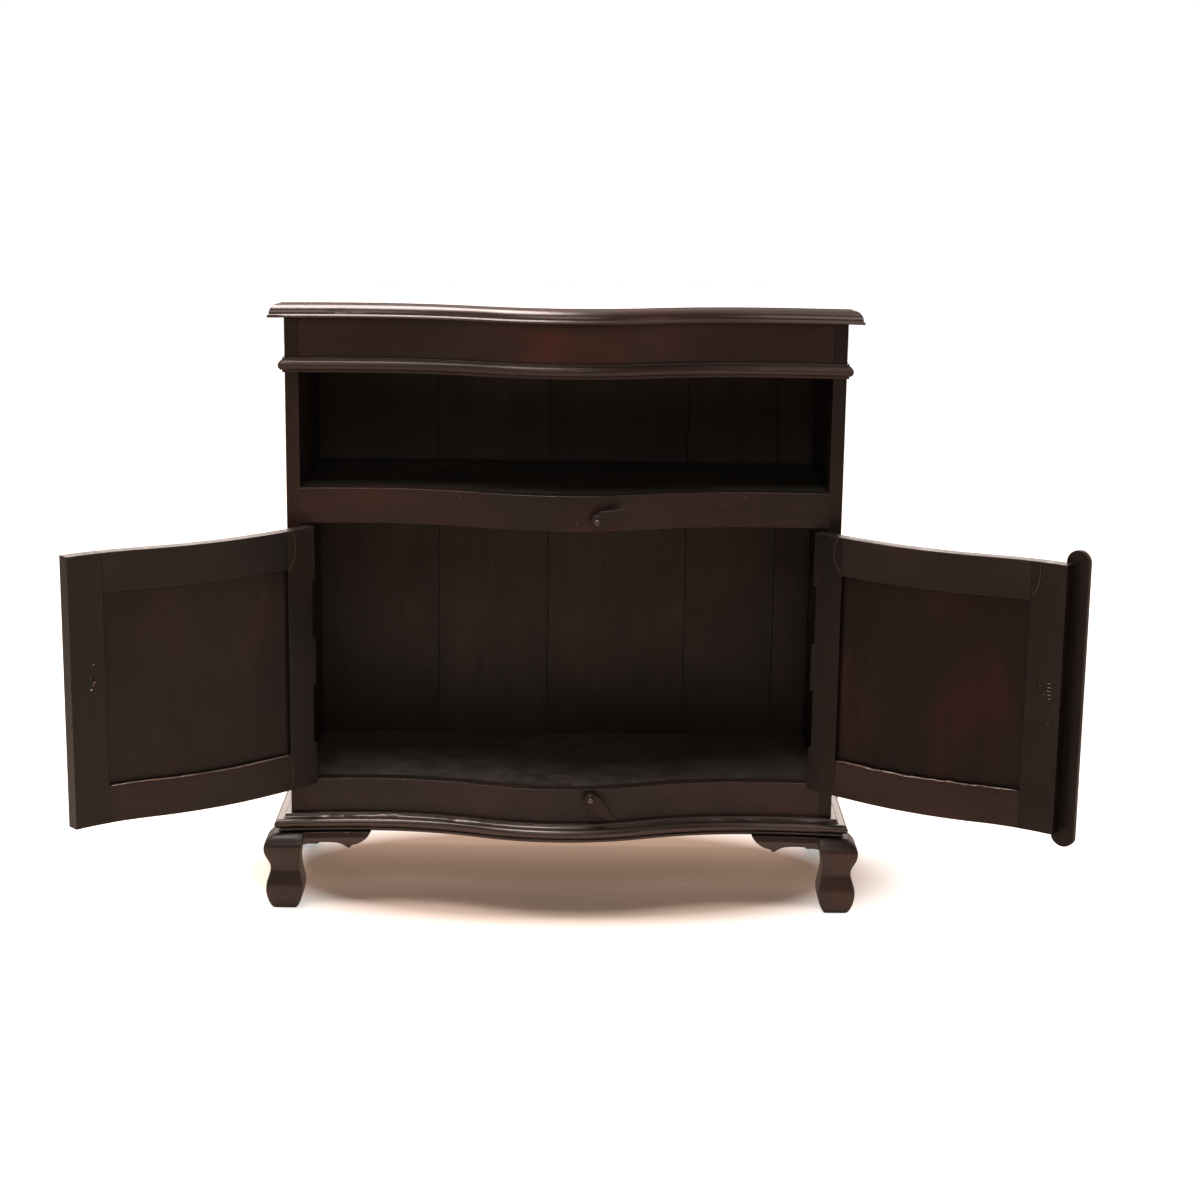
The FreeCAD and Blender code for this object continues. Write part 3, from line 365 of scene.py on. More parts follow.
# Woods of the cabinet. Each kind is a set of colours and a polish, changed from the plain one
plainWood = {
    "redness": 0.65, "fibre": 0.36, "gloss": 0.37, "uneven": 0.2, "coat": 0.05, "sheen": 0.28, "wear": 0.5,
    "crest": 0.0, "dust": 0.04, "ledge": 0.0, "lift": 0.5, "soft": 0.0022, "wornAndHighlight": (0.11, 0.055, 0.036, 1),
}
panelWood = dict(plainWood, redness=1.0, fibre=0.28, gloss=0.4, uneven=0.24, wear=0.3, dust=0.03, lift=0.4)
woodKinds = {
    "case": dict(plainWood, dark=(0.0092, 0.0070, 0.0056, 1), brown=(0.028, 0.0156, 0.0128, 1),
                 red=(0.052, 0.0160, 0.0116, 1)),
    # the rail's pale worn colour with a full crest paints a highlight line along its eased top edge
    "rail": dict(plainWood, dark=(0.0085, 0.0068, 0.0054, 1), brown=(0.0265, 0.0150, 0.0126, 1),
                 red=(0.050, 0.0152, 0.0112, 1), redness=0.8, gloss=0.36, crest=1.0, dust=0.02, lift=0.4,
                 soft=0.0018, wornAndHighlight=(0.30, 0.22, 0.18, 1)),
    "red": dict(plainWood, dark=(0.0185, 0.0098, 0.0076, 1), brown=(0.046, 0.0200, 0.0152, 1),
                red=(0.088, 0.0210, 0.0124, 1), redness=0.9, gloss=0.38, uneven=0.22, wear=0.4),
    "leftPanel": dict(panelWood, dark=(0.0072, 0.0076, 0.0062, 1), brown=(0.0200, 0.0130, 0.0122, 1),
                      red=(0.0340, 0.0138, 0.0130, 1), sheen=0.24, coat=0.02),
    # darker than the left panel: painted shade on the right door
    "rightPanel": dict(panelWood, dark=(0.0034, 0.0034, 0.0026, 1), brown=(0.0112, 0.0062, 0.0054, 1),
                       red=(0.0350, 0.0078, 0.0062, 1), sheen=0.18, coat=0.0),
    "moulding": dict(plainWood, dark=(0.0155, 0.0085, 0.0066, 1), brown=(0.042, 0.022, 0.0165, 1),
                     red=(0.064, 0.021, 0.0135, 1), redness=0.4, fibre=0.22, gloss=0.29, uneven=0.08,
                     coat=0.12, sheen=0.7, lift=0.07, soft=0.0009, wornAndHighlight=(0.2, 0.125, 0.09, 1)),
    "inner": dict(plainWood, dark=(0.0114, 0.0106, 0.0080, 1), brown=(0.027, 0.0214, 0.0160, 1),
                  red=(0.037, 0.0196, 0.0136, 1), redness=0.4, fibre=0.28, gloss=0.5, coat=0.0, sheen=0.34,
                  wear=0.3, dust=0.06, lift=0.4),
    "shelf": dict(plainWood, dark=(0.019, 0.014, 0.0108, 1), brown=(0.046, 0.033, 0.025, 1),
                  red=(0.058, 0.030, 0.02, 1), redness=0.3, fibre=0.5, gloss=0.44, uneven=0.25, sheen=0.4,
                  dust=0.3),
    # pale colours: a painted highlight where the chipped lip's top catches the light
    "lip": dict(plainWood, dark=(0.10, 0.062, 0.048, 1), brown=(0.30, 0.21, 0.17, 1),
                red=(0.26, 0.15, 0.11, 1), redness=0.4, fibre=0.5, gloss=0.22, uneven=0.1, coat=0.3,
                sheen=0.6, wear=0.6, dust=0.3, lift=0.4, soft=0.0006, wornAndHighlight=(0.4, 0.28, 0.22, 1)),
}
woodKinds.update({
    "bead": dict(woodKinds["moulding"], sheen=0.42, gloss=0.4),
    # the feet's ledge: painted shade darkening their up-facing tops
    "foot": dict(woodKinds["moulding"], sheen=0.5, gloss=0.36, ledge=0.85),
    # the door kinds' crest paints a faint highlight line on their eased top edges
    "leftFrame": dict(woodKinds["case"], dark=(0.0076, 0.0078, 0.0064, 1), brown=(0.0200, 0.0142, 0.0128, 1),
                      red=(0.0290, 0.0136, 0.0120, 1), crest=0.3, sheen=0.26, coat=0.04),
    # darker than the left frame: painted shade on the right door's stiles and the cover strip
    "rightFrame": dict(woodKinds["case"], dark=(0.0036, 0.0037, 0.0029, 1), brown=(0.0140, 0.0096, 0.0084, 1),
                       red=(0.0250, 0.0096, 0.0082, 1), uneven=0.34, crest=0.3, sheen=0.22, coat=0.03),
    "rightRail": dict(woodKinds["case"], dark=(0.0058, 0.0056, 0.0046, 1), brown=(0.0230, 0.0152, 0.0134, 1),
                      red=(0.0410, 0.0148, 0.0124, 1), uneven=0.3, crest=0.3, sheen=0.24, coat=0.03),
    "baseRail": dict(woodKinds["rail"], dark=(0.0130, 0.0110, 0.0092, 1), brown=(0.0400, 0.0240, 0.0206, 1),
                     red=(0.0660, 0.0220, 0.0176, 1)),
    # lighter copy of the lip wood: on the joint lines a painted highlight along the joint; the specks and the
    # right door's fixing ridges take it too
    "line": dict(woodKinds["lip"], dark=(0.045, 0.030, 0.024, 1), brown=(0.13, 0.094, 0.078, 1),
                 red=(0.12, 0.076, 0.058, 1)),
    # the right side panel: painted shade, as the open right door's shadow on the right case stile
    "shadedCase": dict(woodKinds["case"], dark=(0.0036, 0.0031, 0.0026, 1), brown=(0.0110, 0.0076, 0.0065, 1),
                       red=(0.0204, 0.0076, 0.0063, 1)),
})
woodKinds["leftRail"] = woodKinds["leftFrame"]
finishLook = {
    "darkening": (0.0035, 0.0028, 0.0024, 1), "dust": (0.16, 0.13, 0.11, 1), "darkeningRough": 0.25, "dustRough": 0.6,
    "rubbedGloss": 0.16, "coatRough": 0.2, "tint": (1.0, 0.79, 0.71, 1), "grainLift": 0.00022,
    "polishLift": 0.00005, "shiftY": 0.37, "shiftZ": 0.71,
}
# Turns that bring a board's grain onto X
grainTurns = {"x": (0, 0, 0), "y": (0, 0, -math.pi / 2), "z": (0, math.pi / 2, 0)}


def raised(tree, strength, distance, height, normal):
    sockets = {"Strength": strength, "Distance": distance, "Height": height, "Normal": normal}
    return put(tree, "ShaderNodeBump", sockets).outputs["Normal"]


def makeWood(name, kind, along, shift, turn=0.0):
    # turn is the angle that the board was swung by about Z
    look = woodKinds[kind]
    material, tree, place = startMaterial(name)
    shader = tree.nodes["Principled BSDF"]
    if turn:
        place = put(tree, "ShaderNodeMapping", {"Vector": place, "Rotation": (0, 0, -turn)}).outputs["Vector"]
    sockets = {"Vector": place, "Rotation": grainTurns[along],
               "Location": (shift, shift * finishLook["shiftY"], shift * finishLook["shiftZ"])}
    vector = put(tree, "ShaderNodeMapping", sockets).outputs["Vector"]
    grain = useGroup(tree, grainGroup, {
        "Vector": vector, "Dark": look["dark"], "Brown": look["brown"], "Red": look["red"],
        "Redness": look["redness"], "Fibre": look["fibre"]})
    edge = useGroup(tree, edgeGroup, {"Vector": vector, "Radius": look["soft"], "Reach": look["wear"],
                                      "Crest": look["crest"]})
    polish = useGroup(tree, polishGroup, {"Vector": vector, "Gloss": look["gloss"], "Uneven": look["uneven"]})
    dust = useGroup(tree, darkeningAndDustGroup, {"Vector": vector, "Dust": look["dust"], "Ledge": look["ledge"]})
    # edges and crests take the pale worn colour: wear, with painted highlights on top edges
    color = mix(tree, edge["Mask"], grain["Color"], look["wornAndHighlight"])
    # darker in the corners found by ambient occlusion, and painted shade on the ledges
    color = mix(tree, dust["Darkening"], color, finishLook["darkening"])
    color = mix(tree, dust["Dust"], color, finishLook["dust"])
    tree.links.new(color, shader.inputs["Base Color"])
    rough = sums(tree, "ADD", polish["Roughness"], times(tree, dust["Darkening"], finishLook["darkeningRough"]))
    rough = sums(tree, "ADD", rough, times(tree, dust["Dust"], finishLook["dustRough"]))
    rubbed = times(tree, edge["Mask"], finishLook["rubbedGloss"])
    tree.links.new(sums(tree, "SUBTRACT", rough, rubbed, clamp=True), shader.inputs["Roughness"])
    lift = raised(tree, look["lift"], finishLook["grainLift"], grain["Height"], edge["Normal"])
    lift = raised(tree, look["lift"], finishLook["polishLift"], polish["Height"], lift)
    tree.links.new(lift, shader.inputs["Normal"])
    shader.inputs["Coat Weight"].default_value = look["coat"]
    shader.inputs["Coat Roughness"].default_value = finishLook["coatRough"]
    shader.inputs["Specular IOR Level"].default_value = look["sheen"]
    shader.inputs["Specular Tint"].default_value = finishLook["tint"]
    return material


metalKinds = {
    "dark_iron": {"plain": (0.16, 0.115, 0.085, 1), "stained": (0.04, 0.017, 0.009, 1), "metallic": 0.9,
                  "rough": 0.36},
    "old_brass": {"plain": (0.36, 0.23, 0.085, 1), "stained": (0.075, 0.045, 0.02, 1), "metallic": 0.95,
                  "rough": 0.32},
}
metalLook = {
    "spots": {"scale": 260.0, "detail": 5.0, "rough": 0.65, "bend": 0.4, "span": (0.42, 0.62)},
    "clouds": {"scale": 70.0, "detail": 4.0, "rough": 0.6, "span": (0.35, 0.65)},
    "radius": 0.0006, "wear": 0.8, "corner": 0.004, "dust": 0.1, "bright": 1.9, "dulled": 0.55,
    "roughened": 0.3, "pitted": 0.6, "pitDepth": 0.0001,
}


def makeMetal(name):
    kind, look = metalKinds[name], metalLook
    material, tree, place = startMaterial(name)
    shader = tree.nodes["Principled BSDF"]
    spots = remap(tree, noise(tree, place, look["spots"]), *look["spots"]["span"])
    clouds = remap(tree, noise(tree, place, look["clouds"]), *look["clouds"]["span"])
    edge = useGroup(tree, edgeGroup, {"Vector": place, "Radius": look["radius"], "Reach": look["wear"]})
    dust = useGroup(tree, darkeningAndDustGroup, {"Vector": place, "Reach": look["corner"], "Dust": look["dust"]})
    stain = sums(tree, "MAXIMUM", times(tree, spots, clouds), dust["Darkening"])
    color = mix(tree, stain, kind["plain"], kind["stained"])
    bright = tuple(min(1.0, part * look["bright"]) for part in kind["plain"][:3]) + (1,)
    tree.links.new(mix(tree, edge["Mask"], color, bright), shader.inputs["Base Color"])
    metallic = sums(tree, "SUBTRACT", kind["metallic"], times(tree, stain, look["dulled"]), clamp=True)
    tree.links.new(metallic, shader.inputs["Metallic"])
    rough = sums(tree, "ADD", kind["rough"], times(tree, stain, look["roughened"]), clamp=True)
    tree.links.new(rough, shader.inputs["Roughness"])
    pits = raised(tree, look["pitted"], look["pitDepth"], spots, edge["Normal"])
    tree.links.new(pits, shader.inputs["Normal"])
    return material


metals = {name: makeMetal(name) for name in metalKinds}


def dress(thing, material):
    thing.data.materials.clear()
    thing.data.materials.append(material)


# Kind of wood and grain of each node. Turns follow the doors' swing at rest
doorTurns = {"left": -math.radians(137.0), "right": math.radians(141.4)}
boards = {
    "top_board": ("moulding", "x"), "frieze_rail": ("red", "x"), "bead_front": ("bead", "x"),
    "side_panel_left": ("case", "z"), "side_panel_right": ("shadedCase", "z"),
    "niche_shelf": ("inner", "x"), "middle_rail": ("rail", "x"), "bottom_board": ("shelf", "x"),
    "bottom_rail": ("baseRail", "x"), "base_moulding_front": ("moulding", "x"),
    "cover_strip": ("rightFrame", "z"), "upper_turn_button": ("case", "x"),
    "lower_turn_button": ("case", "x"),
}
backBoards = ["back_board_%d" % index for index in range(1, 6)]
doorParts = {"hinge_stile": ("Frame", "z"), "meeting_stile": ("Frame", "z"), "top_rail": ("Rail", "x"),
             "bottom_rail": ("Rail", "x"), "panel": ("Panel", "z")}
for node in backBoards:
    boards[node] = ("inner", "z")
for side in signs:
    boards["bead_" + side] = ("bead", "y")
    boards["base_moulding_" + side] = boards["bracket_side_front_" + side] = ("moulding", "y")
    boards["bracket_side_back_" + side] = ("moulding", "y")
    boards["bracket_front_" + side] = ("moulding", "x")
    boards["foot_front_" + side] = boards["foot_back_" + side] = ("foot", "z")
    for part, (kind, along) in doorParts.items():
        boards["%s_door_%s" % (side, part)] = (side + kind, along)
grainStep = 0.83
for order, (node, (kind, along)) in enumerate(sorted(boards.items()), 1):
    turn = next((doorTurns[side] for side in doorTurns if node.startswith(side + "_door")), 0.0)
    dress(cadNodes[node], makeWood("wood_" + node, kind, along, grainStep * order, turn))
for node, thing in cadNodes.items():
    if node not in boards:
        dress(thing, metals["old_brass" if "knob" in node else "dark_iron"])
print("materials given")


bodyOf = {node: body for body, nodes in frame["record"]["behaviour"]["bodies"].items() for node in nodes}


def standFor(piece, node):
    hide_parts(node)
    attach(piece, bodyOf[node])


# The case's front curve: a bulge between two hollows, all arcs
frontLook = {"hollowX": 0.290, "rise": 0.050, "bulge": 0.360, "outer": 1.000, "half": 0.418, "ends": -0.147}


def frontY(x, out=0.0):
    # where the front face moved out by so much lies at x
    look = frontLook
    arcs = (look["hollowX"] ** 2 + look["rise"] ** 2) / (2 * look["rise"])
    outerY = look["ends"] - math.sqrt(look["outer"] ** 2 - (look["half"] - look["hollowX"]) ** 2)
    hollowY = outerY + look["outer"] - (arcs - look["bulge"])
    bulgeY = outerY + look["outer"] - look["rise"] + look["bulge"]
    if abs(x) <= (look["bulge"] + out) * look["hollowX"] / arcs:
        return bulgeY - math.sqrt((look["bulge"] + out) ** 2 - x ** 2)
    past = abs(x) - look["hollowX"]
    if past <= 0:
        return hollowY + math.sqrt((arcs - look["bulge"] - out) ** 2 - past ** 2)
    return outerY + math.sqrt((look["outer"] - out) ** 2 - past ** 2)


# Boards with their edges eased, as a plane and years of use leave them: width of the rounding
easedEdges = {
    "side_panel_left": 0.0010, "side_panel_right": 0.0010, "niche_shelf": 0.0020, "middle_rail": 0.0022,
    "bottom_rail": 0.0022, "frieze_rail": 0.0008, "cover_strip": 0.0022, "keeper_plate": 0.0003,
}
easeLook = {
    "bracket": 0.0050, "backBoard": 0.0009, "join": 0.00002, "flat": 0.4, "steps": 3,
    "door": {"hinge_stile": 0.0007, "meeting_stile": 0.0009, "top_rail": 0.0006, "bottom_rail": 0.0006},
}
for spot in ("front", "side_front", "side_back"):
    for side in signs:
        easedEdges["bracket_%s_%s" % (spot, side)] = easeLook["bracket"]
for node in backBoards:
    easedEdges[node] = easeLook["backBoard"]
for side in signs:
    for part, width in easeLook["door"].items():
        easedEdges["%s_door_%s" % (side, part)] = width


def easeBoard(node, width):
    pick(cadNodes[node])
    bpy.ops.object.duplicate()
    piece = startPiece(node + "_eased")
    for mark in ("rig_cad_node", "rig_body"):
        del piece[mark]
    bpy.ops.object.parent_clear(type="CLEAR_KEEP_TRANSFORM")
    bpy.ops.object.mode_set(mode="EDIT")
    bpy.ops.mesh.select_all(action="SELECT")
    bpy.ops.mesh.remove_doubles(threshold=easeLook["join"])
    bpy.ops.mesh.customdata_custom_splitnormals_clear()
    bpy.ops.mesh.dissolve_limited(angle_limit=math.radians(easeLook["flat"]))
    bpy.ops.object.mode_set(mode="OBJECT")
    roundEdges(piece, width, easeLook["steps"])
    settleNormals(piece)
    standFor(piece, node)


for node, width in easedEdges.items():
    easeBoard(node, width)
print("boards eased:", len(easedEdges))


# A shape drawn out from ring to ring: each ring is its middle and its two half sizes
def drawOut(name, axis, sides, rings):
    turns = {"x": (0, math.pi / 2, 0), "y": (math.pi / 2, 0, 0), "z": (0, 0, 0)}
    middle, across, high = rings[0]
    pickNothing()
    bpy.ops.mesh.primitive_circle_add(vertices=sides, radius=1.0, fill_type="NGON", location=(0, 0, 0))
    piece = startPiece(name)
    if sides == 4:
        # a square with its sides along the axes
        piece.rotation_euler = (0, 0, math.pi / 4)
        piece.scale = (math.sqrt(2), math.sqrt(2), 1)
        atOrigin(piece)
    piece.scale = (high, across, 1) if axis == "x" else (across, high, 1)
    piece.rotation_euler = turns[axis]
    piece.location = middle
    atOrigin(piece)
    bpy.ops.object.mode_set(mode="EDIT")
    bpy.ops.mesh.select_all(action="SELECT")
    for center, wide, tall in rings[1:]:
        step = Vector(center) - Vector(middle)
        bpy.ops.mesh.extrude_region_move(TRANSFORM_OT_translate={"value": step})
        growth = {"x": (1, wide / across, tall / high), "y": (wide / across, 1, tall / high),
                  "z": (wide / across, tall / high, 1)}
        bpy.ops.transform.resize(value=growth[axis], center_override=center)
        middle, across, high = center, wide, tall
    bpy.ops.object.mode_set(mode="OBJECT")
    outward(piece)
    return piece


def creaseEdges(piece, value, chosen):
    # chosen is asked for each edge's two ends
    pick(piece)
    bpy.ops.object.mode_set(mode="EDIT")
    bpy.ops.mesh.select_all(action="DESELECT")
    mesh = bmesh.from_edit_mesh(piece.data)
    for edge in mesh.edges:
        edge.select = chosen(edge.verts[0].co, edge.verts[1].co)
    bmesh.update_edit_mesh(piece.data)
    bpy.ops.transform.edge_crease(value=value)
    bpy.ops.object.mode_set(mode="OBJECT")


def subdivide(piece, levels):
    pick(piece)
    smooth = piece.modifiers.new("smooth", "SUBSURF")
    smooth.levels = smooth.render_levels = levels
    bpy.ops.object.modifier_apply(modifier=smooth.name)


# From how far apart two ends lie on different rings, and how near to an end ring they belong to it
ringLook = {"apart": 0.0005, "near": 0.0001}


def creaseRings(piece, axis, value, first, last):
    # the lengthwise edges by so much, and the two end rings fully
    apart, low, high = ringLook["apart"], first + ringLook["near"], last - ringLook["near"]
    creaseEdges(piece, value, lambda a, b: abs(a[axis] - b[axis]) > apart)
    creaseEdges(piece, 1.0, lambda a, b: max(a[axis], b[axis]) < low or min(a[axis], b[axis]) > high)


# Feet: each ring stands out of the case's corner and reaches in under it, from the sole up, in mm
footLook = {
    "cornerX": 0.418, "frontY": -0.147, "backY": 0.147, "crease": 0.7, "levels": 3, "angle": 50,
    "rings": ((0.0, 26.4, 8.2), (2.2, 29.4, 10.6), (12, 34.2, 15.6), (24, 37.6, 19.0), (36, 38.2, 20.0),
              (48, 35.4, 18.0), (60, 30.8, 15.6), (70, 30.6, 14.2), (80, 34.8, 14.4), (91, 40.4, 16.2),
              (102, 40.9, 18.6), (110, 37.6, 20.0), (116, 31.6, 20.6), (120, 24.4, 20.6)),
    "backDeeper": 1.73,
}


def makeFoot(end, side):
    node = "foot_%s_%s" % (end, side)
    rings = []
    for height, outer, inner in footLook["rings"]:
        out, inside = mm(outer), mm(inner)
        x = signs[side] * (footLook["cornerX"] + (out - inside) / 2)
        under = inside * footLook["backDeeper"]
        y = footLook["frontY"] - (out - inside) / 2 if end == "front" else footLook["backY"] - under / 2
        deep = (out + inside) / 2 if end == "front" else under / 2
        rings.append(((x, y, mm(height)), (out + inside) / 2, deep))
    foot = drawOut(node + "_carved", "z", 4, rings)
    creaseRings(foot, 2, footLook["crease"], rings[0][0][2], rings[-1][0][2])
    subdivide(foot, footLook["levels"])
    smoothSides(foot, footLook["angle"])
    dress(foot, cadNodes[node].data.materials[0])
    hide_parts(node)
    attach(foot, "case")


for end in ("front", "back"):
    for side in signs:
        makeFoot(end, side)
print("feet carved")


def joined(name, parts):
    pickNothing()
    for part in parts:
        part.select_set(True)
    bpy.context.view_layer.objects.active = parts[0]
    bpy.ops.object.join()
    parts[0].name = parts[0].data.name = name
    return parts[0]


def copyTo(piece, name, matrix):
    # a copy with its own mesh, its place left in that mesh
    pick(piece)
    bpy.ops.object.duplicate()
    copy = startPiece(name)
    copy.matrix_world = matrix
    return atOrigin(copy)


doorLook = {"pivot": (0.395, -0.152), "thick": 0.020}


def swungBy(side):
    # what is made on the shut door goes to where the door stands open
    pivot = Vector((signs[side] * doorLook["pivot"][0], doorLook["pivot"][1], 0))
    return Matrix.Translation(pivot) @ Matrix.Rotation(doorTurns[side], 4, "Z") @ Matrix.Translation(-pivot)


def swingOpen(piece, side):
    piece.matrix_world = swungBy(side)
    return atOrigin(piece)


# Turn buttons: a leaf with a straight top and a domed boss round the screw. The leaf's rings say how
# far out they stand, from what height to what height, and how thick they are by half, in mm
buttonLook = {
    "upper": {"place": (0.049, 0.6195), "turn": 4.0},
    "lower": {"place": (0.044, 0.187), "turn": -59.0},
    "middleY": -0.20022,
    "leaf": ((-9.6, -3.2, 3.6, 2.0), (-7.4, -7.2, 7.4, 2.5), (-3, -9.9, 10.8, 2.7), (3.7, -10.2, 15.8, 2.75),
             (11.5, -9.0, 16.5, 2.75), (22, -4.2, 17.0, 2.7), (30, 0.4, 17.3, 2.5), (36.8, 5.4, 17.6, 2.3),
             (42, 11.0, 17.8, 2.0), (45.6, 16.2, 17.95, 1.6)),
    "crease": 0.8, "levels": 2, "angle": 40, "sides": 36,
    "boss": ((-187.06, 10.2), (-188.0, 10.45), (-199.5, 10.45), (-202.0, 10.2), (-203.4, 9.3), (-204.1, 7.8),
             (-204.0, 6.2), (-203.35, 5.3), (-203.3, 0.3)),
}


def makeButton(side):
    look = buttonLook[side]
    spotX, spotZ = look["place"]
    rings = []
    for out, low, high, half in buttonLook["leaf"]:
        center = (spotX + mm(out), buttonLook["middleY"], spotZ + mm(low + high) / 2)
        rings.append((center, mm(half), mm(high - low) / 2))
    leaf = drawOut(side + "_leaf", "x", 4, rings)
    creaseRings(leaf, 0, buttonLook["crease"], rings[0][0][0], rings[-1][0][0])
    subdivide(leaf, buttonLook["levels"])
    smoothSides(leaf, buttonLook["angle"])
    profile = [((spotX, mm(y), spotZ), mm(radius), mm(radius)) for y, radius in buttonLook["boss"]]
    boss = drawOut(side + "_boss", "y", buttonLook["sides"], profile)
    smoothSides(boss, buttonLook["angle"])
    button = joined(side + "_turn_button_shaped", [leaf, boss])
    middle = Vector((spotX, 0, spotZ))
    turn = Matrix.Rotation(-math.radians(look["turn"]), 4, "Y")
    button.matrix_world = Matrix.Translation(middle) @ turn @ Matrix.Translation(-middle)
    atOrigin(button)
    dress(button, cadNodes[side + "_turn_button"].data.materials[0])
    standFor(button, side + "_turn_button")


for side in ("upper", "lower"):
    makeButton(side)
print("turn buttons shaped")


# Slotted screws. Each is made once at the origin with its head to -Y, and copied. Sizes in mm
screwLook = {
    "domed": {"rings": ((15.9, 1.6), (15.4, 2.2), (0.05, 2.2), (0.0, 4.4), (-0.3, 4.6), (-1.0, 4.2),
                        (-1.7, 3.2), (-2.2, 1.8), (-2.4, 0.3)), "slot": (12.0, 2.2, 1.1), "deepest": -2.9},
    "sunk": {"rings": ((12.4, 0.7), (11.2, 1.75), (2.5, 1.8), (0.4, 3.25), (0.12, 3.38), (0.0, 3.2)),
             "slot": (9.0, 1.9, 0.8), "deepest": -0.1},
}
cutLook = {"sides": 28, "eased": 0.00012, "steps": 1, "sharp": 60, "angle": 40}


def makeScrew(name):
    look = screwLook[name]
    profile = [((0, mm(y), 0), mm(radius), mm(radius)) for y, radius in look["rings"]]
    screw = drawOut(name + "_screw", "y", cutLook["sides"], profile)
    pickNothing()
    bpy.ops.mesh.primitive_cube_add(size=mm(1), location=(0, mm(look["deepest"]), 0))
    slot = startPiece(name + "_slot")
    slot.scale = look["slot"]
    atOrigin(slot)
    pick(screw)
    cut = screw.modifiers.new("slot", "BOOLEAN")
    cut.object = slot
    cut.operation = "DIFFERENCE"
    bpy.ops.object.modifier_apply(modifier=cut.name)
    bpy.data.objects.remove(slot)
    roundEdges(screw, cutLook["eased"], cutLook["steps"], cutLook["sharp"])
    smoothSides(screw, cutLook["angle"])
    dress(screw, metals["dark_iron"])
    return screw


screws = {name: makeScrew(name) for name in screwLook}
screwSeats = {"domedY": -0.20332, "turns": {"upper": 62.0, "lower": 74.0}, "gap": 0.0005, "back": 0.017,
              "heights": (282, 312, 342, 445, 475, 505), "angles": (18, 95, -34, 70, -12, 130)}
for side, angle in screwSeats["turns"].items():
    spotX, spotZ = buttonLook[side]["place"]
    matrix = Matrix.Translation((spotX, screwSeats["domedY"], spotZ))
    matrix = matrix @ Matrix.Rotation(math.radians(angle), 4, "Y")
    screw = copyTo(screws["domed"], side + "_button_screw_slotted", matrix)
    standFor(screw, side + "_button_screw")
for side, sign in signs.items():
    for place, way in (("case", sign), ("door", -sign)):
        row = []
        for height, angle in zip(screwSeats["heights"], screwSeats["angles"]):
            seat = (sign * doorLook["pivot"][0] + way * screwSeats["gap"],
                    doorLook["pivot"][1] + screwSeats["back"], mm(height))
            matrix = Matrix.Translation(seat) @ Matrix.Rotation(-way * math.pi / 2, 4, "Z")
            matrix = matrix @ Matrix.Rotation(math.radians(angle), 4, "Y")
            if place == "door":
                matrix = swungBy(side) @ matrix
            row.append(copyTo(screws["sunk"], "screw", matrix))
        node = "%s_hinge_%s_screws" % (side, place)
        standFor(joined(node + "_slotted", row), node)
for screw in screws.values():
    bpy.data.objects.remove(screw)
print("screws cut and copied")


# Knobs on the doors' outer faces, turned on a lathe: how far out, and the radius there, in mm
knobLook = {
    "place": 0.036, "height": 0.420, "sides": 40, "angle": 40,
    "rings": ((-17.0, 2.2), (-16.6, 2.5), (-0.1, 2.5), (0.05, 6.6), (0.4, 7.0), (1.2, 7.0), (1.6, 6.7),
              (2.1, 5.6), (3.2, 4.4), (4.6, 3.6), (5.9, 3.45), (7.0, 3.6), (7.6, 4.6), (8.4, 6.2), (9.8, 8.0),
              (11.6, 9.2), (13.3, 9.5), (15.2, 9.1), (16.9, 7.6), (18.1, 5.4), (18.8, 2.9), (19.0, 0.3)),
}


def makeKnob(side):
    profile = [((0, 0, mm(out)), mm(radius), mm(radius)) for out, radius in knobLook["rings"]]
    knob = drawOut(side + "_door_knob_turned", "z", knobLook["sides"], profile)
    smoothSides(knob, knobLook["angle"])
    tilt = math.asin(knobLook["place"] / frontLook["bulge"])
    way = Vector((signs[side] * math.sin(tilt), -math.cos(tilt), 0))
    spot = (signs[side] * knobLook["place"], frontY(knobLook["place"]), knobLook["height"])
    turn = Vector((0, 0, 1)).rotation_difference(way).to_matrix().to_4x4()
    knob.matrix_world = swungBy(side) @ Matrix.Translation(spot) @ turn
    atOrigin(knob)
    dress(knob, metals["old_brass"])
    standFor(knob, side + "_door_knob")


for side in signs:
    makeKnob(side)
print("knobs turned")


def onDoor(piece, side):
    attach(piece, side + "_door")


# The chipped lip of each door's bottom rail under its panel, seen from inside. Its pale wood is a
# painted highlight where its top catches the light
lipLook = {
    "left": {"span": (0.0552, 0.3405), "proud": 0.7, "ragged": 0.5, "seed": 4, "shift": 5.1},
    "right": {"span": (0.0552, 0.3425), "proud": 0.95, "ragged": 0.95, "seed": 9, "shift": 7.7},
    "height": 0.2577, "step": 0.0042, "kept": 0.7, "drift": 0.0007, "tall": 0.0014, "tallSpan": (0.45, 1.5),
    "deep": 0.0022, "deepSpan": (0.4, 1.4), "end": 0.0002, "outShare": 0.4, "sides": 6, "angle": 35,
}


def makeLip(side):
    look = lipLook[side]
    chance = random.Random(look["seed"])
    start, end = look["span"]
    count = int((end - start) / lipLook["step"])
    rings = []
    drift = 0.0
    for index in range(count + 1):
        x = start + (end - start) * index / count
        change = chance.uniform(-lipLook["drift"], lipLook["drift"])
        drift = lipLook["kept"] * drift + look["ragged"] * change
        tall = look["proud"] * lipLook["tall"] * chance.uniform(*lipLook["tallSpan"])
        deep = look["proud"] * lipLook["deep"] * chance.uniform(*lipLook["deepSpan"])
        if index in (0, count):
            tall = deep = lipLook["end"]
        y = frontY(x, -doorLook["thick"]) + deep * lipLook["outShare"]
        rings.append(((signs[side] * x, y, lipLook["height"] + drift), deep, tall))
    lip = drawOut(side + "_door_lip", "x", lipLook["sides"], rings)
    subdivide(lip, 1)
    smoothSides(lip, lipLook["angle"])
    swingOpen(lip, side)
    dress(lip, makeWood("wood_%s_door_lip" % side, "lip", "x", look["shift"], doorTurns[side]))
    onDoor(lip, side)


for side in signs:
    makeLip(side)
print("lips drawn along the bottom rails")
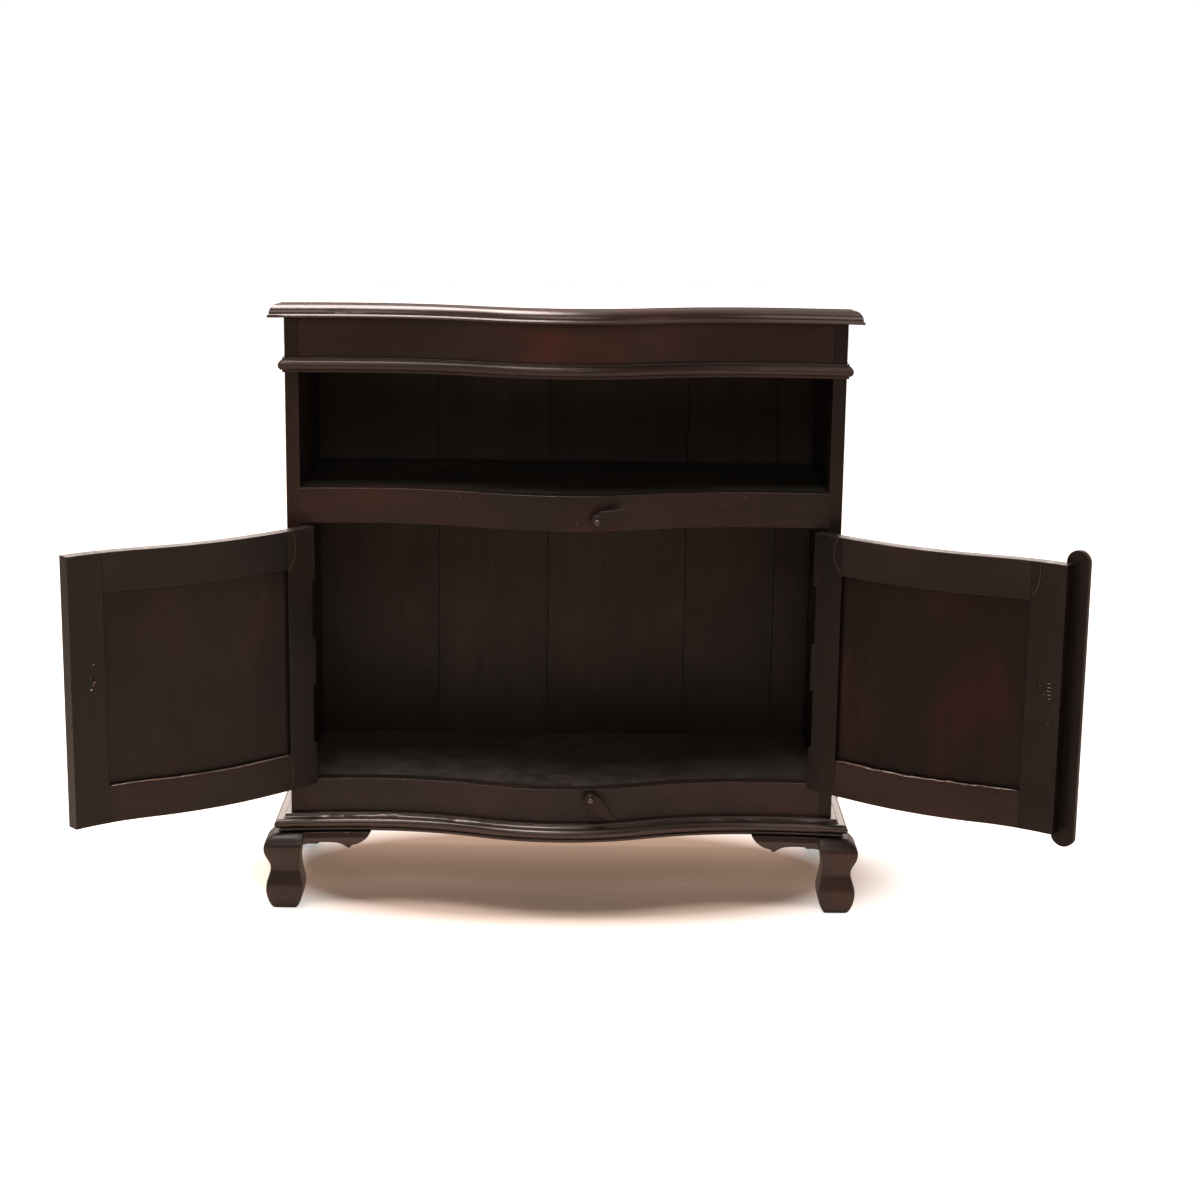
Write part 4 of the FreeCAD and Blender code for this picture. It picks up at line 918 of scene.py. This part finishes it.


# Joint lines on the doors' inner faces, where a coped moulding meets a stile, by place and height in
# mm. Their pale colour is a painted highlight along the joint
jointLook = {
    "left": (((355.6, 601.4), (360.0, 583), (359.2, 566), (354.7, 552.9), (348.8, 544.7), (345.4, 539)),
             ((339, 256.5), (345.8, 249.4), (348.5, 239.2), (348.1, 217.1), (343.9, 203.7))),
    "right": (((353.0, 603), (360.5, 588), (361.5, 572), (356.3, 557.6), (343.5, 544.4)),
              ((43.1, 601.2), (40.1, 578), (45.2, 560.0), (53.4, 547.8))),
    "wide": 0.0009, "proud": 0.0005, "out": 0.0001, "shift": 9.3, "sides": 6, "angle": 40,
}
lineMaterials = {}
for side, turn in doorTurns.items():
    lineMaterials[side] = makeWood("wood_%s_joint_lines" % side, "line", "z", jointLook["shift"], turn)


def makeJointLine(side, index, points):
    rings = []
    for x, z in points:
        y = frontY(mm(x), -doorLook["thick"]) + jointLook["out"]
        rings.append(((signs[side] * mm(x), y, mm(z)), jointLook["wide"] / 2, jointLook["proud"]))
    line = drawOut("%s_door_joint_line_%d" % (side, index), "z", jointLook["sides"], rings)
    subdivide(line, 1)
    smoothSides(line, jointLook["angle"])
    swingOpen(line, side)
    dress(line, lineMaterials[side])
    onDoor(line, side)


for side in signs:
    for index, points in enumerate(jointLook[side], 1):
        makeJointLine(side, index, points)
print("joint lines laid")


# Small marks on the doors' inner faces: dried specks, chips of bare wood by the left knob's fixing
# and ridges by the right one's
bareLook = {"pale": (0.74, 0.46, 0.34, 1), "deep": (0.42, 0.19, 0.11, 1), "rough": 0.7, "lift": 0.7,
            "depth": 0.0002, "flecks": {"scale": 900.0, "detail": 4.0, "rough": 0.6}, "span": (0.38, 0.62)}
bareWood, bareTree, bareSpot = startMaterial("bare_chip")
bareShader = bareTree.nodes["Principled BSDF"]
bareFleck = remap(bareTree, noise(bareTree, bareSpot, bareLook["flecks"]), *bareLook["span"])
bareColor = mix(bareTree, bareFleck, bareLook["deep"], bareLook["pale"])
bareTree.links.new(bareColor, bareShader.inputs["Base Color"])
sockets = {"Strength": bareLook["lift"], "Distance": bareLook["depth"], "Height": bareFleck}
bareBump = put(bareTree, "ShaderNodeBump", sockets).outputs["Normal"]
bareTree.links.new(bareBump, bareShader.inputs["Normal"])
bareShader.inputs["Roughness"].default_value = bareLook["rough"]

# Each mark: its place across, height, half width, half height, and how proud it stands, in mm
speckLook = {
    "left": ((189.4, 566.5, 0.9, 0.7, 0.4), (381.5, 437.8, 0.6, 0.8, 0.4), (49.0, 507.2, 0.5, 0.6, 0.3),
             (261.5, 312.4, 0.5, 0.5, 0.3)),
    "right": ((52.3, 589.4, 1.1, 0.6, 0.4), (131.6, 551.8, 0.7, 0.8, 0.4), (172.3, 429.2, 0.8, 0.5, 0.3),
              (339.6, 450.4, 0.5, 0.9, 0.4)),
}
fixingLook = {
    "left": ((36.8, 441.0, 1.2, 1.0, 0.5), (37.6, 414.6, 1.0, 1.3, 0.6), (35.6, 411.2, 1.3, 0.8, 0.5),
             (32.0, 404.4, 1.7, 1.5, 0.8)),
    "right": ((19.6, 425.4, 4.0, 0.7, 1.1), (18.8, 419.8, 4.4, 0.7, 1.1), (19.4, 414.2, 4.6, 0.75, 1.2),
              (18.0, 408.6, 4.2, 0.7, 1.1), (17.0, 403.0, 3.4, 0.7, 1.0), (25.6, 409.3, 1.0, 1.1, 1.0),
              (17.1, 364.4, 1.6, 0.9, 0.7)),
}
# How a mark rises and narrows, as shares
markLook = {"rings": ((-0.3, 0.9), (0.1, 1.0), (0.6, 0.8), (0.9, 0.45), (1.0, 0.1)), "sides": 12,
            "angle": 50}


def makeMark(name, x, z, half, proud, faceY, way):
    wide, tall = half
    rings = []
    for out, size in markLook["rings"]:
        rings.append(((x, faceY + way * mm(out * proud), z), mm(wide * size), mm(tall * size)))
    mark = drawOut(name, "y", markLook["sides"], rings)
    subdivide(mark, 1)
    smoothSides(mark, markLook["angle"])
    return mark


def layMarks(side, name, rows, material):
    row = []
    for index, (x, z, wide, tall, proud) in enumerate(rows):
        faceY = frontY(mm(x), -doorLook["thick"])
        row.append(makeMark("mark_%d" % index, signs[side] * mm(x), mm(z), (wide, tall), proud, faceY, 1))
    marks = swingOpen(joined("%s_door_%s" % (side, name), row), side)
    dress(marks, material)
    onDoor(marks, side)


for side in signs:
    layMarks(side, "specks", speckLook[side], lineMaterials[side])
fixingMaterials = {"left": bareWood, "right": lineMaterials["right"]}
for side in signs:
    layMarks(side, "fixing_marks", fixingLook[side], fixingMaterials[side])

# Nails in the middle rail, by place and height
nailLook = {"nails": ((-0.157, 0.647), (0.273, 0.648), (0.018, 0.6145)), "half": (1.0, 1.0), "proud": 0.35}
nailRow = [makeMark("nail_%d" % index, x, z, nailLook["half"], nailLook["proud"], frontY(x), -1)
           for index, (x, z) in enumerate(nailLook["nails"])]
nails = joined("middle_rail_nails", nailRow)
dress(nails, metals["dark_iron"])
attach(nails, "case")
print("marks and nails set")


# Floor, backdrop and light. The floor clears to plain white away from the cabinet
white = (1, 1, 1, 1)
warmWhite = (1.0, 0.87, 0.8, 1)
stageLook = {
    "size": 14.0, "under": -0.0002, "paper": (0.75, 0.55, 0.43, 1), "stretch": (1.0, 2.1, 1.0),
    "clearing": (0.42, 0.60), "glint": 0.3, "behind": (0.0, 0.94, 0.34), "sky": (-0.25, 0.75, 0.04, 0.9),
}
bpy.ops.mesh.primitive_plane_add(size=stageLook["size"], location=(0, 0, stageLook["under"]))
floor = startPiece("floor")
atOrigin(floor)
floorMaterial, floorTree, spot = startMaterial("floorPaper")
floorTree.nodes.remove(floorTree.nodes["Principled BSDF"])
paper = put(floorTree, "ShaderNodeBsdfDiffuse", {"Color": stageLook["paper"]})
away = put(floorTree, "ShaderNodeVectorMath", {0: stretched(floorTree, spot, stageLook["stretch"])},
           operation="LENGTH").outputs["Value"]
rays = put(floorTree, "ShaderNodeLightPath").outputs
glint = times(floorTree, rays["Is Glossy Ray"], stageLook["glint"])
seen = sums(floorTree, "MAXIMUM", rays["Is Camera Ray"], glint)
glow = times(floorTree, seen, remap(floorTree, away, *stageLook["clearing"]))
glow = put(floorTree, "ShaderNodeEmission", {"Color": white, "Strength": glow})
both = put(floorTree, "ShaderNodeAddShader", {0: paper.outputs[0], 1: glow.outputs[0]})
floorTree.links.new(both.outputs[0], floorTree.nodes["Material Output"].inputs["Surface"])
dress(floor, floorMaterial)

world = bpy.data.worlds.new("studio")
bpy.context.scene.world = world
world.use_nodes = True
skyTree = world.node_tree
sky = skyTree.nodes["Background"]
way = put(skyTree, "ShaderNodeTexCoord").outputs["Generated"]
behind = put(skyTree, "ShaderNodeVectorMath", {0: way, 1: stageLook["behind"]}, operation="DOT_PRODUCT")
glowBehind = remap(skyTree, behind.outputs["Value"], *stageLook["sky"])
camera = put(skyTree, "ShaderNodeLightPath").outputs["Is Camera Ray"]
skyTree.links.new(sums(skyTree, "MAXIMUM", glowBehind, camera), sky.inputs["Strength"])
skyTree.links.new(mix(skyTree, camera, warmWhite, white), sky.inputs["Color"])

lampLook = {
    "above": {"place": (-0.55, -0.35, 2.7), "aim": (0.0, -0.15, 0.0), "size": (1.4, 0.8), "power": 70.0},
    "behind": {"place": (0.0, 3.4, 1.5), "aim": (0.0, 0.0, 0.9), "size": (4.4, 1.3), "power": 64.0},
    "frontTop": {"place": (-0.2, -2.6, 2.0), "aim": (0.0, 0.0, 0.4), "size": (1.6, 0.8), "power": 15.0},
    "frontRight": {"place": (2.6, -2.2, 1.3), "aim": (0.0, 0.0, 0.4), "size": (1.2, 1.4), "power": 9.0},
    "frontLeft": {"place": (-2.0, -2.6, 1.2), "aim": (0.0, 0.0, 0.4), "size": (1.2, 1.4), "power": 3.5},
}
for lampName, look in lampLook.items():
    lamp = bpy.data.lights.new(lampName, "AREA")
    lamp.shape = "RECTANGLE"
    lamp.size, lamp.size_y = look["size"]
    lamp.energy = look["power"]
    lamp.color = warmWhite[:3] if lampName == "behind" else white[:3]
    holder = bpy.data.objects.new(lampName, lamp)
    bpy.context.scene.collection.objects.link(holder)
    holder.location = look["place"]
    holder.rotation_euler = (Vector(look["aim"]) - Vector(look["place"])).to_track_quat("-Z", "Y").to_euler()

cameraLook = {"place": (0.0202, -3.7084, 1.3092), "yaw": 0.56, "pitch": 12.967, "roll": 0.784,
              "focal": 2406.6, "frame": 1200, "sensor": 36.0}
cameraData = bpy.data.cameras.new("camera")
cameraData.sensor_width = cameraLook["sensor"]
cameraData.lens = cameraLook["focal"] * cameraLook["sensor"] / cameraLook["frame"]
cameraObject = bpy.data.objects.new("camera", cameraData)
bpy.context.scene.collection.objects.link(cameraObject)
turned = Matrix.Rotation(-math.radians(cameraLook["yaw"]), 4, "Z")
turned = turned @ Matrix.Rotation(math.radians(90.0 - cameraLook["pitch"]), 4, "X")
turned = turned @ Matrix.Rotation(math.radians(cameraLook["roll"]), 4, "Z")
cameraObject.matrix_world = Matrix.Translation(cameraLook["place"]) @ turned
bpy.context.scene.camera = cameraObject
bpy.context.scene.view_settings.view_transform = "Standard"
print("stage, light and camera set")
